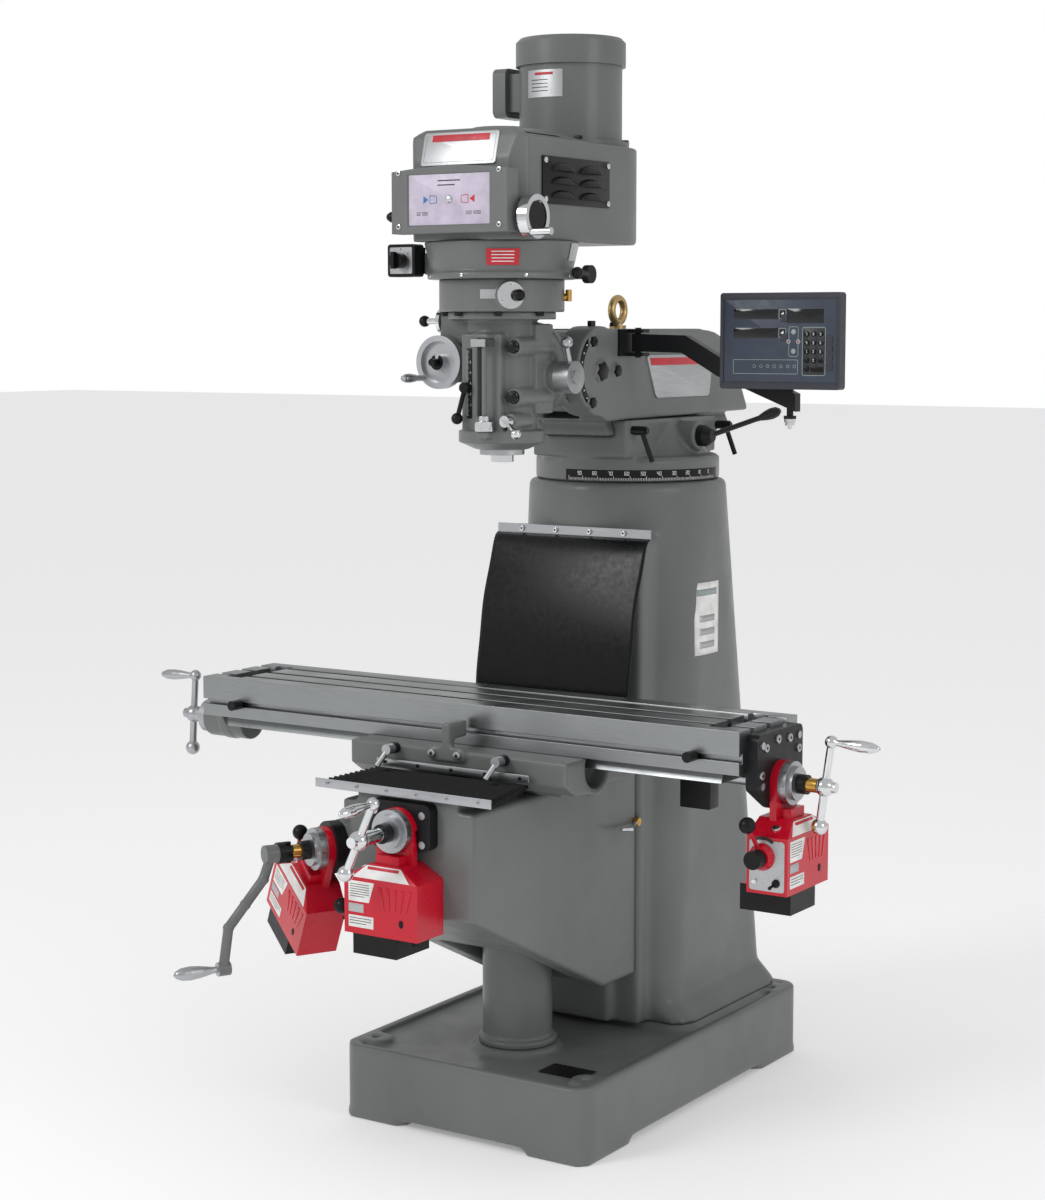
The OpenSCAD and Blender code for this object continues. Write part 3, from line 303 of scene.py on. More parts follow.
def numeral(value, height, width):
    """A whole number in plain straight strokes, centred on its place."""
    text = str(value)
    lines = [[(x + i * 1.6, y) for x, y in STROKES[s]] for i, c in enumerate(text) for s in DIGITS[int(c)]]
    p = np.array(lines, float) - (1.6 * (len(text) - 1) / 2 + 0.5, 1)
    return bars(p * height / 2, width)


def ticks(count, spacing, long_every, lengths, width):
    """Upright bars along X: every long_every-th one has the second length."""
    i = np.arange(count)
    h = np.where(i % long_every == 0, lengths[1], lengths[0])
    x = i * spacing
    return bars(np.stack([np.stack([x, x * 0], 1), np.stack([x, h], 1)], 1), width)


def flat(p, z=0.0):
    """Marks on a plane."""
    return np.concatenate([p, np.full(p.shape[:-1] + (1,), z)], -1)


def wrapped(p, radius):
    """Marks bent round local Z: X becomes the way round, Y the height."""
    a = p[..., 0] / radius
    return np.stack([radius * np.cos(a), radius * np.sin(a), p[..., 1]], -1)


# ---- Settings ----

def colour(name, code):
    """A colour setting; the code is six hexadecimal digits, as on screen."""
    return bpy.props.FloatVectorProperty(name=name, description=name + " colour", subtype="COLOR", size=3,
                                         min=0, max=1, default=linear(code))


def length(name, value, text):
    """A length setting, in metres, given in millimetres."""
    return bpy.props.FloatProperty(name=name, description=text, default=value * MM, min=0, unit="LENGTH")


def linear(code):
    c = np.array([int(code[i:i + 2], 16) / 255 for i in (0, 2, 4)])
    return tuple(float(v) for v in np.where(c <= 0.04045, c / 12.92, ((c + 0.055) / 1.055) ** 2.4))


class MachineFinishes(bpy.types.PropertyGroup):
    """Colours of the paints, metals and plastics."""
    casting: colour("Casting paint", "6b6e6d")
    iron: colour("Ground iron", "989b9c")
    steel: colour("Steel", "b4b6b8")
    chrome: colour("Chrome", "dcdee0")
    satin: colour("Satin aluminium", "b4b6b9")
    oxide: colour("Black oxide", "17181a")
    plastic: colour("Black plastic", "111113")
    brass: colour("Brass", "c99c50")
    zinc: colour("Yellow zinc", "c4a876")
    red: colour("Feed paint", "c00a26")
    rubber: colour("Cover rubber", "101112")
    readout: colour("Readout shell", "2a2c35")
    panel: colour("Readout face", "333c4c")
    silver: colour("Label metal", "b9bbbd")
    lavender: colour("Speed chart", "c2b9cb")
    white: colour("White print", "e4e4e2")
    grey_print: colour("Grey print", "8f9c9a")
    blue: colour("Blue print", "2f6fb4")
    red_print: colour("Red print", "bd1c2c")
    dark_print: colour("Dark print", "26272a")
    glass: colour("Display glass", "0a0c0f")


class MachineSizes(bpy.types.PropertyGroup):
    """Sizes of what is added to the frame."""
    plate: length("Plate thickness", 4, "Thickness of the raised name plates")
    label: length("Label thickness", 0.8, "Thickness of a stuck-on label")
    mark: length("Mark width", 0.9, "Width of a scale's graduation")
    fold: length("Fold depth", 8, "Depth of one fold of the front bellows")
    cover: length("Cover thickness", 2.5, "Thickness of the rear way cover's sheet")
    folds: bpy.props.IntProperty(name="Folds", description="Number of folds in the front bellows", default=12,
                                 min=4)


class MachineStage(bpy.types.PropertyGroup):
    """The camera's lens and the lights."""
    lens: bpy.props.FloatProperty(name="Lens", description="Focal length in millimetres", default=70.76, min=10)
    world: bpy.props.FloatProperty(name="Sky", description="Brightness of the surroundings", default=0.62, min=0)
    key: bpy.props.FloatProperty(name="Key light", description="Main light's power", default=75, unit="POWER")
    fill: bpy.props.FloatProperty(name="Fill light", description="Side light's power", default=30, unit="POWER")


def size(name):
    """A size setting, in millimetres."""
    return getattr(bpy.context.scene.mill_sizes, name) / MM


# ---- Finishes ----

class Graph:
    """A new material and its node tree, with short calls to add and join nodes."""

    def __init__(self, name, colour, roughness, metallic=0.0, **sockets):
        self.material = bpy.data.materials.new(name)
        self.material.use_nodes = True
        self.tree = self.material.node_tree
        self.shader = self.tree.nodes["Principled BSDF"]
        values = {"Base Color": (*colour, 1.0), "Roughness": roughness, "Metallic": metallic, **sockets}
        for key, value in values.items():
            self.shader.inputs[key].default_value = value

    def add(self, kind, inputs=None, **facts):
        """A node of a kind; inputs may be sockets to join or plain values."""
        node = self.tree.nodes.new("ShaderNode" + kind)
        for key, value in facts.items():
            setattr(node, key, value)
        for key, value in (inputs or {}).items():
            if isinstance(value, bpy.types.NodeSocket):
                self.tree.links.new(value, node.inputs[key])
            else:
                node.inputs[key].default_value = value
        return node

    def join(self, socket, name):
        self.tree.links.new(socket, self.shader.inputs[name])

    def place(self, scale=(1, 1, 1)):
        """Object coordinates, in metres, stretched by a scale along each axis."""
        where = self.add("TexCoord").outputs["Object"]
        return self.add("Mapping", {"Vector": where, "Scale": scale}).outputs["Vector"]

    def noise(self, where, scale, detail=3.0, rough=0.5):
        values = {"Vector": where, "Scale": scale, "Detail": detail, "Roughness": rough}
        return self.add("TexNoise", values).outputs["Fac"]

    def spread(self, factor, start, end):
        """Takes a noise's middle range to start and end."""
        values = {"Value": factor, "From Min": 0.3, "From Max": 0.7, "To Min": start, "To Max": end}
        return self.add("MapRange", values).outputs["Result"]

    def tone(self, factor, colour, dark, light):
        """The colour, darker or lighter with the factor."""
        mix = self.add("Mix", {"Factor": factor}, data_type="RGBA")
        a, b = [i for i in mix.inputs if i.type == "RGBA"]
        a.default_value = (*(c * dark for c in colour), 1)
        b.default_value = (*(min(1.0, c * light) for c in colour), 1)
        self.join([o for o in mix.outputs if o.type == "RGBA"][0], "Base Color")

    def bump(self, *layers):
        """Bumps on top of each other: each layer is a height socket, its distance in metres and its strength."""
        normal = None
        for height, distance, strength in layers:
            node = self.add("Bump", {"Height": height, "Distance": distance, "Strength": strength})
            if normal is not None:
                self.tree.links.new(normal, node.inputs["Normal"])
            normal = node.outputs["Normal"]
        self.join(normal, "Normal")


def paint(name, colour, roughness, peel=0.35, coat=0.25):
    """Sprayed paint on a casting: broad uneven tone, fine orange peel, uneven gloss."""
    g = Graph(name, colour, roughness, **{"Coat Weight": coat, "Coat Roughness": 0.16,
                                            "Specular IOR Level": 0.3})
    where = g.place()
    g.tone(g.spread(g.noise(where, 5, 4), 0, 1), colour, 0.9, 1.08)
    g.join(g.spread(g.noise(where, 18, 5), roughness - 0.05, roughness + 0.08), "Roughness")
    g.bump((g.noise(where, 46, 3), 0.001, peel), (g.noise(where, 420, 2), 0.00022, peel))
    return g.material


def ground(name, colour, roughness, along=(1, 90, 90), depth=0.25):
    """Ground or brushed metal: fine streaks along one axis, cloudy handling marks."""
    g = Graph(name, colour, roughness, 1.0)
    streaks = g.noise(g.place(tuple(a * 6.0 for a in along)), 4, 4, 0.6)
    g.tone(g.spread(streaks, 0, 1), colour, 0.86, 1.08)
    g.join(g.spread(g.noise(g.place(), 11, 4), roughness - 0.07, roughness + 0.1), "Roughness")
    g.bump((streaks, 0.0002, depth))
    return g.material


def polished(name, colour, roughness):
    """Plated or polished metal with faint smears."""
    g = Graph(name, colour, roughness, 1.0)
    where = g.place()
    g.join(g.spread(g.noise(where, 60, 4), max(0.02, roughness - 0.03), roughness + 0.07), "Roughness")
    g.tone(g.spread(g.noise(where, 25, 3), 0, 1), colour, 0.92, 1.03)
    return g.material


def moulded(name, colour, roughness, grain=0.3, scale=1400, **sockets):
    """Moulded plastic, rubber, print or oxide-black steel: a fine even grain."""
    g = Graph(name, colour, roughness, **sockets)
    where = g.place()
    g.tone(g.spread(g.noise(where, 30, 3), 0, 1), colour, 0.86, 1.12)
    g.join(g.spread(g.noise(where, 90, 4), roughness - 0.04, roughness + 0.07), "Roughness")
    g.bump((g.noise(where, scale, 2), 0.0001, grain))
    return g.material


DULL = {"Specular IOR Level": 0.22}
MAKERS = {
    "casting": lambda n, c: paint(n, c, 0.36, 0.35, 0.12),
    "red": lambda n, c: paint(n, c, 0.26, 0.2, 0.25),
    "iron": lambda n, c: ground(n, c, 0.33), "steel": lambda n, c: ground(n, c, 0.28, (60, 60, 60)),
    "satin": lambda n, c: ground(n, c, 0.36, (40, 40, 40), 0.1),
    "silver": lambda n, c: ground(n, c, 0.4, (20, 1, 20), 0.06),
    "chrome": lambda n, c: polished(n, c, 0.08), "brass": lambda n, c: polished(n, c, 0.2),
    "zinc": lambda n, c: polished(n, c, 0.34), "oxide": lambda n, c: moulded(n, c, 0.34, **DULL),
    "plastic": lambda n, c: moulded(n, c, 0.34, **DULL),
    "rubber": lambda n, c: moulded(n, c, 0.26, 0.12, 500, **DULL),
    "readout": lambda n, c: moulded(n, c, 0.42, 0.4, 900), "glass": lambda n, c: moulded(n, c, 0.08, 0.0),
}


def finish(name):
    """The material of that name, made when it is first asked for."""
    label = "mill " + name.replace("_", " ")
    if label not in bpy.data.materials:
        shade = tuple(getattr(bpy.context.scene.mill_finishes, name))
        MAKERS.get(name, lambda n, c: moulded(n, c, 0.4, 0.05))(label, shade)
    return bpy.data.materials[label]


# ---- The frame's nodes with better surfaces ----

# Cast pieces: the size of a skin cell and how many times it is smoothed
CASTINGS = {
    "base": (5.5, 6), "column": (6.0, 9), "turret": (3.5, 7), "ram": (4.0, 6), "knuckle": (3.0, 5),
    "head_casting": (2.6, 5), "gear_ring": (2.2, 4), "gear_housing": (2.6, 5), "belt_housing": (3.2, 6),
    "saddle": (3.4, 4), "knee": (5.0, 5), "left_bracket": (2.6, 3), "screw_pedestal": (3.4, 4),
}
PLAIN = {"knee_screw": "steel", "table_screw": "steel", "motor_pulley": "steel", "spindle_pulley": "steel",
         "drive_belt": "rubber"}

FEED_PLACES = {
    "x": shaft_place((high("table")[0], *pivot("table_screw_turn")[1:]), axis("table_screw_turn")),
    "y": shaft_place((0, high("y_feed")[1] - 22, pivot("y_crank_turn")[2]), axis("y_crank_turn")),
    "z": shaft_place(pivot("z_crank_turn") - 60 * axis("z_crank_turn"), axis("z_crank_turn")),
}
Z_FEED_TILT = -28
CASES = {"x": FEED_PLACES["x"], "y": FEED_PLACES["y"],
         "z": shaft_place(FEED_PLACES["z"][:3, 3], FEED_PLACES["z"][:3, 0], Z_FEED_TILT)}
CASE = {"side": 82.0, "front": 82.0, "shoulder": -87.0, "neck": -61.0, "foot": -190.0}


def merged(node, name=None):
    """A copy of a node's mesh with its triangles joined, its flat faces made whole and sealed hollows left out."""
    bm = bmesh.new()
    bm.from_mesh(NODES[node].data)
    bmesh.ops.remove_doubles(bm, verts=bm.verts, dist=2e-6)
    left = set(bm.faces)
    hollows = []
    while left:
        island, queue = [], [left.pop()]
        while queue:
            face = queue.pop()
            island.append(face)
            for edge in face.edges:
                for other in edge.link_faces:
                    if other in left:
                        left.remove(other)
                        queue.append(other)
        if sum(f.calc_area() * f.normal.dot(f.calc_center_median()) for f in island) < 0:
            hollows += island
    bmesh.ops.delete(bm, geom=hollows, context="FACES")
    bmesh.ops.dissolve_limit(bm, angle_limit=radians(0.6), verts=bm.verts, edges=bm.edges)
    mesh = bpy.data.meshes.new(name or node + "_form")
    bm.to_mesh(mesh)
    bm.free()
    mesh.materials.clear()
    obj = bpy.data.objects.new(mesh.name, mesh)
    bpy.context.scene.collection.objects.link(obj)
    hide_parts(node)
    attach(obj, BODY_OF[node])
    return obj


def edged(node, bevel, finishes, choose=None, place=None):
    """A node's copy with rounded edges. choose takes the faces' centres, in millimetres in the place's own
    axes, and gives each face's number in the list of finishes."""
    obj = merged(node)
    mesh = obj.data
    for f in finishes.split():
        mesh.materials.append(finish(f))
    if choose is not None:
        p = np.empty(len(mesh.polygons) * 3)
        mesh.polygons.foreach_get("center", p)
        p = p.reshape(-1, 3) / MM
        if place is not None:
            p = (p - place[:3, 3]) @ place[:3, :3]
        mesh.polygons.foreach_set("material_index", np.asarray(choose(*p.T), np.int32))
    mesh.shade_smooth()
    mesh.set_sharp_from_angle(angle=radians(28))
    add_bevel(obj, bevel, 2)
    return obj


def near(x, y, z, centre, radius):
    """Whether each face lies within a radius of a point."""
    return np.linalg.norm(np.stack([x, y, z], -1) - centre, axis=-1) < radius


def build_castings():
    for node, (cell, rounds) in CASTINGS.items():
        obj = merged(node)
        obj.data.materials.append(finish("casting"))
        m = obj.modifiers.new("Cast skin", "REMESH")
        m.mode, m.voxel_size, m.use_smooth_shade = "VOXEL", cell * MM, True
        m = obj.modifiers.new("Cast edges", "SMOOTH")
        m.factor, m.iterations = 0.5, rounds
    for node, name in PLAIN.items():
        mesh = NODES[node].data
        mesh.materials.clear()
        mesh.materials.append(finish(name))


def build_head_pieces():
    """The pieces bolted to the head, its levers and wheels."""
    wheel = pivot("quill_wheel_turn")
    speed_x, dial = low("speed_handwheel")[0] + 34, pivot("speed_wheel_turn")
    gear, out = pivot("back_gear_turn"), axis("back_gear_turn")
    front = low("switch_box")[1]
    edged("motor", 2.5, "casting")
    edged("speed_plate", 2, "casting")
    edged("switch_box", 2, "plastic satin", lambda x, y, z: y < front + 0.6)
    edged("switch_knob", 1.5, "plastic")
    edged("quill_feed_lever", 1.2, "satin")
    edged("quill_handwheel", 1.5, "satin plastic",
          lambda x, y, z: (np.hypot(x - wheel[0], z - wheel[2]) < 8) & (y < wheel[1] - 16))
    edged("quill_lock", 1, "chrome")
    edged("feed_engage_crank", 1, "chrome plastic",
          lambda x, y, z: x < low("feed_engage_crank")[0] + 21)
    edged("feed_trip_lever", 1, "plastic")
    edged("speed_handwheel", 1.2, "chrome plastic",
          lambda x, y, z: (abs(x - speed_x - 17.5) < 1) & (np.hypot(y - dial[1], z - dial[2]) < 28.5))
    edged("brake_lever", 1, "plastic")
    edged("back_gear_knob", 1, "chrome plastic",
          lambda x, y, z: (np.stack([x, y, z], -1) - gear) @ out > 6.2)
    edged("range_lever", 1, "oxide")
    edged("depth_nut", 1, "chrome")
    edged("quill", 0.8, "steel")
    edged("spindle", 0.8, "chrome")


def build_ram_pieces():
    """The lifting eye, the readout's arm and case, and the turret's levers."""
    edged("eye_bolt", 0.8, "zinc")
    edged("dro_bracket", 1, "oxide")
    edged("dro_arm", 2.5, "oxide")
    edged("dro_console", 2, "readout oxide", lambda x, y, z: y > low("dro_console")[1] + 25.5)
    edged("ram_pinion_lever", 1, "oxide")
    edged("ram_lock_front", 1, "oxide")
    edged("ram_lock_rear", 1, "oxide")


def crank_part(x, y, z):
    """Along a feed's shaft: 0 the crank, 1 the dial, 2 the nut, 3 the collar."""
    return np.select([x < 0, x < 38.2, x < 62.5, x < 80.5, x < 100.5], [1, 0, 1, 2, 3], 0)


def lifting_part(x, y, z):
    return np.select([x < 62.5, x < 80.5, x < 100.5, x < 126.2, x > 246.9], [1, 2, 3, 2, 1], 0)


def feed_part(x, y, z):
    """0 the case, 1 the mounting plate, 2 the cap, 3 the plate's bolts."""
    up = z > -58
    bolt = up & (x > 24.2) & (x < 27.5) & (np.hypot(y, z) > 43)
    return np.select([bolt, up & (x < 24.2), z < CASE["foot"] - 0.1], [3, 1, 2], 0)


def build_feeds():
    """The three power feeds, their levers and cranks."""
    balls = {"x": (21, -120.3, -60), "y": (40, -120.3, -156), "z": (21, -120.3, -60)}
    for side, place in CASES.items():
        edged(side + "_feed", 3.5, "red oxide plastic steel", feed_part, place)
        edged(side + "_feed_lever", 1, "red plastic",
              lambda x, y, z, c=balls[side]: near(x, y, z, c, 16.5), place)
    edged("x_feed_knob", 2, "plastic")
    edged("x_cranks", 1, "chrome satin oxide brass", crank_part, FEED_PLACES["x"])
    edged("y_crank", 1, "chrome satin oxide brass", crank_part, FEED_PLACES["y"])
    edged("z_crank", 1.2, "casting satin oxide brass", lifting_part, FEED_PLACES["z"])


def build_slides():
    """The table, its stops and locks, and the strip that holds the rear cover."""
    edged("table", 1, "iron")
    edged("table_stops", 1.2, "oxide")
    edged("cover_strip", 0.8, "satin")
    for node in ("saddle_lock_left", "saddle_lock_right"):
        edged(node, 1, "satin oxide", lambda x, y, z, n=node: y > high(n)[1] - 12.2)
    hub = pivot("knee_lock_turn")
    edged("knee_lock", 0.8, "chrome brass", lambda x, y, z: np.hypot(y - hub[1], z - hub[2]) < 9)


# ---- Covers ----

def build_way_cover():
    """A rubber sheet from the strip under the turret down behind the table. Each point's height falls evenly
    along the sheet; its distance forward grows as the 0.55 power of the drop, with a shallow bulge between
    its side hems and two slow waves."""
    top = np.array((0, low("cover_strip")[1] + 1.5, low("cover_strip")[2] - 1))
    foot = low("rear_way_cover")
    half = 180.0
    u, v = np.meshgrid(np.linspace(0, 1, 70), np.linspace(-1, 1, 48), indexing="ij")
    belly = (1 - v ** 2) * np.sin(pi * u)
    y = top[1] - (top[1] - foot[1]) * u ** 0.55 - 7 * belly + 2.2 * np.sin(3 * pi * u) * (0.4 + v ** 2)
    p = np.stack([v * half + 1.5 * np.sin(5 * pi * u), y, top[2] - (top[2] - foot[2]) * u], -1)
    obj = Form().grid(p[:, ::-1]).object(
        "way_cover_sheet", None, ["rubber"], smooth=60, replaces=["rear_way_cover"])
    thicken(obj, size("cover"))
    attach(obj, "frame")
    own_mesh(obj)


def thicken(obj, thick):
    m = obj.modifiers.new("Thickness", "SOLIDIFY")
    m.thickness, m.offset = thick * MM, 0
    return m


def build_bellows():
    """A folded cover from the saddle to the knee's front: its rows run across, and their heights go up and
    down by turns; its width grows towards the front."""
    box_low, box_high = low("front_bellows"), high("front_bellows")
    back, front = box_high[1], box_low[1] + 2
    turns = 2 * bpy.context.scene.mill_sizes.folds
    i = np.arange(turns + 1)
    t = i / turns
    wave = np.where(i % 2 == 0, -0.5, 0.5) * size("fold")
    half = 173 + 24 * t
    y = back + (front - back) * t
    z = 714.5 - 5 * t + wave
    v = np.linspace(-1, 1, 25)
    sag = -1.2 * (1 - v ** 2)
    p = np.stack([half[:, None] * v, np.repeat(y[:, None], 25, 1), z[:, None] + sag], -1)
    obj = Form().grid(p[:, ::-1]).object(
        "front_bellows_cover", None, ["rubber"], smooth=20, replaces=["front_bellows"])
    thicken(obj, 1.6)
    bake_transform(obj)
    ahead, rear = facing((0, front + 1, 711), (0, -1, 0)), facing((0, back - 1, 729), (0, -1, 0))
    f = Form().slab(oblong(396, 17, 1), 2, ahead)
    for x in np.linspace(-170, 170, 6):
        f.screw(shifted(ahead, x=x, y=1, z=2), 3.2, 2.2)
    f.object("bellows_front_strip", "knee", ["satin", "oxide"])
    f = Form().slab(oblong(348, 13, 1), 3, rear)
    for x in np.linspace(-155, 155, 5):
        f.screw(shifted(rear, x=x, z=3), 3.4, 2.4, 1)
    f.object("bellows_rear_strip", "saddle", ["satin", "oxide"])


# ---- Plates and labels ----

def barred(form, outline, thick, place, bar, edge=1.2):
    """A silver plate with a red bar; the bar is its middle, width and height."""
    form.slab(outline, thick, place, 0, edge)
    x, y, w, h = bar
    return form.slab(oblong(w, h, 0.5), 0.5, shifted(place, x=x, y=y, z=thick - 0.1), 1, 0.15)


def rules(form, place, x, y, w, step, count, finish):
    """A few plain thin lines in place of small print."""
    left = [x - w / 2] * count
    right = [x + w / 2 * (1 - 0.5 * (i == count - 1)) for i in range(count)]
    lines = [[(a, y - i * step), (b, y - i * step)] for i, (a, b) in enumerate(zip(left, right))]
    return form.quads(flat(bars(lines, 0.28 * step), 0.06), place, finish)


def build_name_plates():
    belt, front = low("belt_housing"), low("belt_housing")[1]
    thick = size("plate")
    head_plate = facing((-6, front + 9.5, belt[2] + 167), (0, -cos(radians(15)), sin(radians(15))))
    f = barred(Form(), oblong(168, 64, 7), thick, head_plate, (0, 20, 128, 13))
    f.border(oblong(156, 52, 4), 0.8, thick + 0.3, head_plate, 2)
    f.object("head_name_plate", "head", ["silver", "red_print", "grey_print"])
    side = facing((high("ram")[0] - 8, 0, 0), (1, 0, 0))
    outline = rounded([(110, 1413), (332, 1413), (348, 1500), (72, 1500)], 10)
    f = Form().slab(outline, thick, side, 0, 1.2)
    bar = rounded([(88, 1479), (330, 1479), (333, 1494), (82, 1494)], 1)
    f.slab(bar, 0.5, shifted(side, z=thick - 0.1), 1, 0.15)
    f.object("ram_name_plate", "ram", ["silver", "red_print"])
    build_small_labels()


# The column's outline at its foot and at its top: corner radius, middle along y, half length of the straight
# side, and how far out the corner's centre lies
COLUMN_FOOT, COLUMN_TOP, COLUMN_TAPER = np.array((45, 224.5, 170.5, 157)), np.array((204, 180, 0, 0)), 1000.0


def column_side(y, z):
    """How far the column's right side stands from the middle: its round-cornered foot and its round top are
    joined by straight lines, so each level is the mean of the two, by height."""
    t = ((z - low("column")[2]) / COLUMN_TAPER)[..., None]
    radius, middle, half, out = np.moveaxis(t * COLUMN_TOP + (1 - t) * COLUMN_FOOT, -1, 0)
    return out + np.sqrt(radius ** 2 - np.maximum(abs(y - middle) - half, 0) ** 2)


def build_small_labels():
    """The labels on the column, the motor, the gear housing and the ring under it."""
    thick = size("label")
    v, u = np.meshgrid(np.linspace(1040, 892, 12), np.linspace(112, 202, 12), indexing="ij")
    skin = np.stack([column_side(u, v) + 0.9, u, v], -1)
    f = Form().grid(skin[::-1])
    f.grid(np.stack([column_side(u, v) + 1.1, u, v], -1)[1:3, 1:-1][::-1], finish=1)
    for row in (5, 7, 9):
        f.grid((skin + (0.25, 0, 0))[row:row + 2, 2:-2][::-1], finish=2)
    obj = f.object("column_label", "frame", ["white", "grey_print", "silver"])
    thicken(obj, 0.8)
    spindle, motor = pivot("spindle_spin"), pivot("motor_spin")
    seat, gear, ring = low("motor")[2], low("gear_housing")[2], low("gear_ring")[2]
    around = {"motor": np.eye(4), "spindle": np.eye(4)}
    around["motor"][:3, 3] = motor[0], motor[1], 0
    around["spindle"][:3, 3] = spindle[0], spindle[1], 0
    f = Form().band(101, -112, -67, seat + 94, seat + 146, thick, around["motor"])
    f.band(101.7, -101, -78, seat + 136, seat + 141, thick, around["motor"], 1)
    for z in (126, 119, 112, 105):
        f.band(101.7, -106, -84, seat + z, seat + z + 1.6, 0.3, around["motor"], 2)
    f.object("motor_label", "head", ["silver", "red_print", "dark_print"])
    f = Form().band(137.6, -68, -43, gear + 24, gear + 54, thick, around["spindle"], 0, flare=6.8)
    for i in range(4):
        line = gear + 30 + 6 * i
        f.band(139.6 + 1.35 * i, -64, -47, line, line + 1.6, thick, around["spindle"], 1, flare=0.4)
    f.band(139.8, 6, 22, gear + 34, gear + 66, thick, around["spindle"], 2, flare=7.2)
    f.object("gear_labels", "head", ["red_print", "white", "silver"])
    f = Form().band(118.8, -76, -57, ring + 24, ring + 41, thick, around["spindle"])
    f.object("range_label", "head", ["silver"])


def build_speed_chart():
    """The speed chart in its frame: a blue and a red arrow towards a screw, plain lines for print."""
    frame_front, belt = low("speed_plate")[1], low("belt_housing")[2]
    place = facing((0, frame_front + 3, belt + 73), (0, -1, 0))
    f = Form().slab(oblong(180, 92, 2), 1.2, place, 0, 0.3)
    f.border(oblong(184, 96, 3), 2, 1.6, place, 4)
    on = shifted(place, z=1.25)
    for side, ink in ((-1, 2), (1, 3)):
        arrow = [(side * 57, -7), (side * 46, 0), (side * 57, 7)]
        f.slab(rounded(arrow[::side], 0.5, 3), 0.25, on, ink, 0.05)
        case = [(side * 42, -7), (side * 42, 7), (side * 28, 5.5), (side * 28, -5.5)]
        f.border(rounded(case[::-side], 0.5, 3), 1.2, 0.25, on, ink)
    speeds = [numeral(v, 5.5, 0.8) + (x, -25) for v, x in ((60, -68), (500, -54), (500, 44), (4200, 62))]
    f.quads(flat(np.concatenate(speeds)), shifted(on, z=0.05), 5)
    rules(f, on, 0, 34, 48, 8, 2, 5)
    f.turned([(0, 7), (2, 7), (4.5, 5), (5.5, 0.02)], shifted(on, x=0, y=0), 6, 28)
    for x in (-112, 112):
        for y in (-48, 50):
            f.screw(shifted(place, x=x, y=y, z=3), 5, 2.4, 6, 7)
    names = ["lavender", "white", "blue", "red_print", "casting", "dark_print", "chrome", "oxide"]
    f.object("speed_chart", "head", names)
    front = low("switch_box")[1]
    knob = facing((pivot("switch_turn")[0], front, pivot("switch_turn")[2]), (0, -1, 0))
    rays = [[(r * sin(a), r * cos(a)) for r in (20, 23)] for a in (-0.9, 0, 0.9)]
    f = Form().quads(flat(np.concatenate([bars([ray], 1.6) for ray in rays]), 0.1), knob)
    f.object("switch_marks", "head", ["dark_print"])


def build_louvres():
    """The vent plate on the belt housing's side with six pressed louvres. Each is a quarter shell: with u
    across and v up, width 38 u, rise 15 v sqrt(1 - u^2), depth 9 sqrt((1 - v^2) (1 - u^4))."""
    belt = low("belt_housing")[2]
    plate = facing((high("louvre_panel")[0] - 11, -234.5, belt + 110.5), (1, 0, 0))
    f = Form().slab(oblong(237, 87, 2), 3, plate, 0, 0.6)
    u, v = np.meshgrid(np.linspace(-1, 1, 25), np.linspace(0, 1, 10), indexing="ij")
    shell = np.stack([40 * u, 15 * v * np.sqrt(1 - u ** 2), 0.1 + 9 * np.sqrt((1 - v ** 2) * (1 - u ** 4))], -1)
    for x in (-50, 50):
        for y in (-32, -7, 18):
            at = shifted(plate, x=x, y=y, z=3)
            f.grid(shell, at)
            # thin black strip under each louvre's lip: painted shade for the dark opening beneath the hood
            f.slab(oblong(76, 0.8, 0.2), 0.4, at, 1, 0.1)
    f.object("louvre_plate", "head", ["oxide", "plastic"], smooth=40, replaces=["louvre_panel"])


# ---- Scales ----

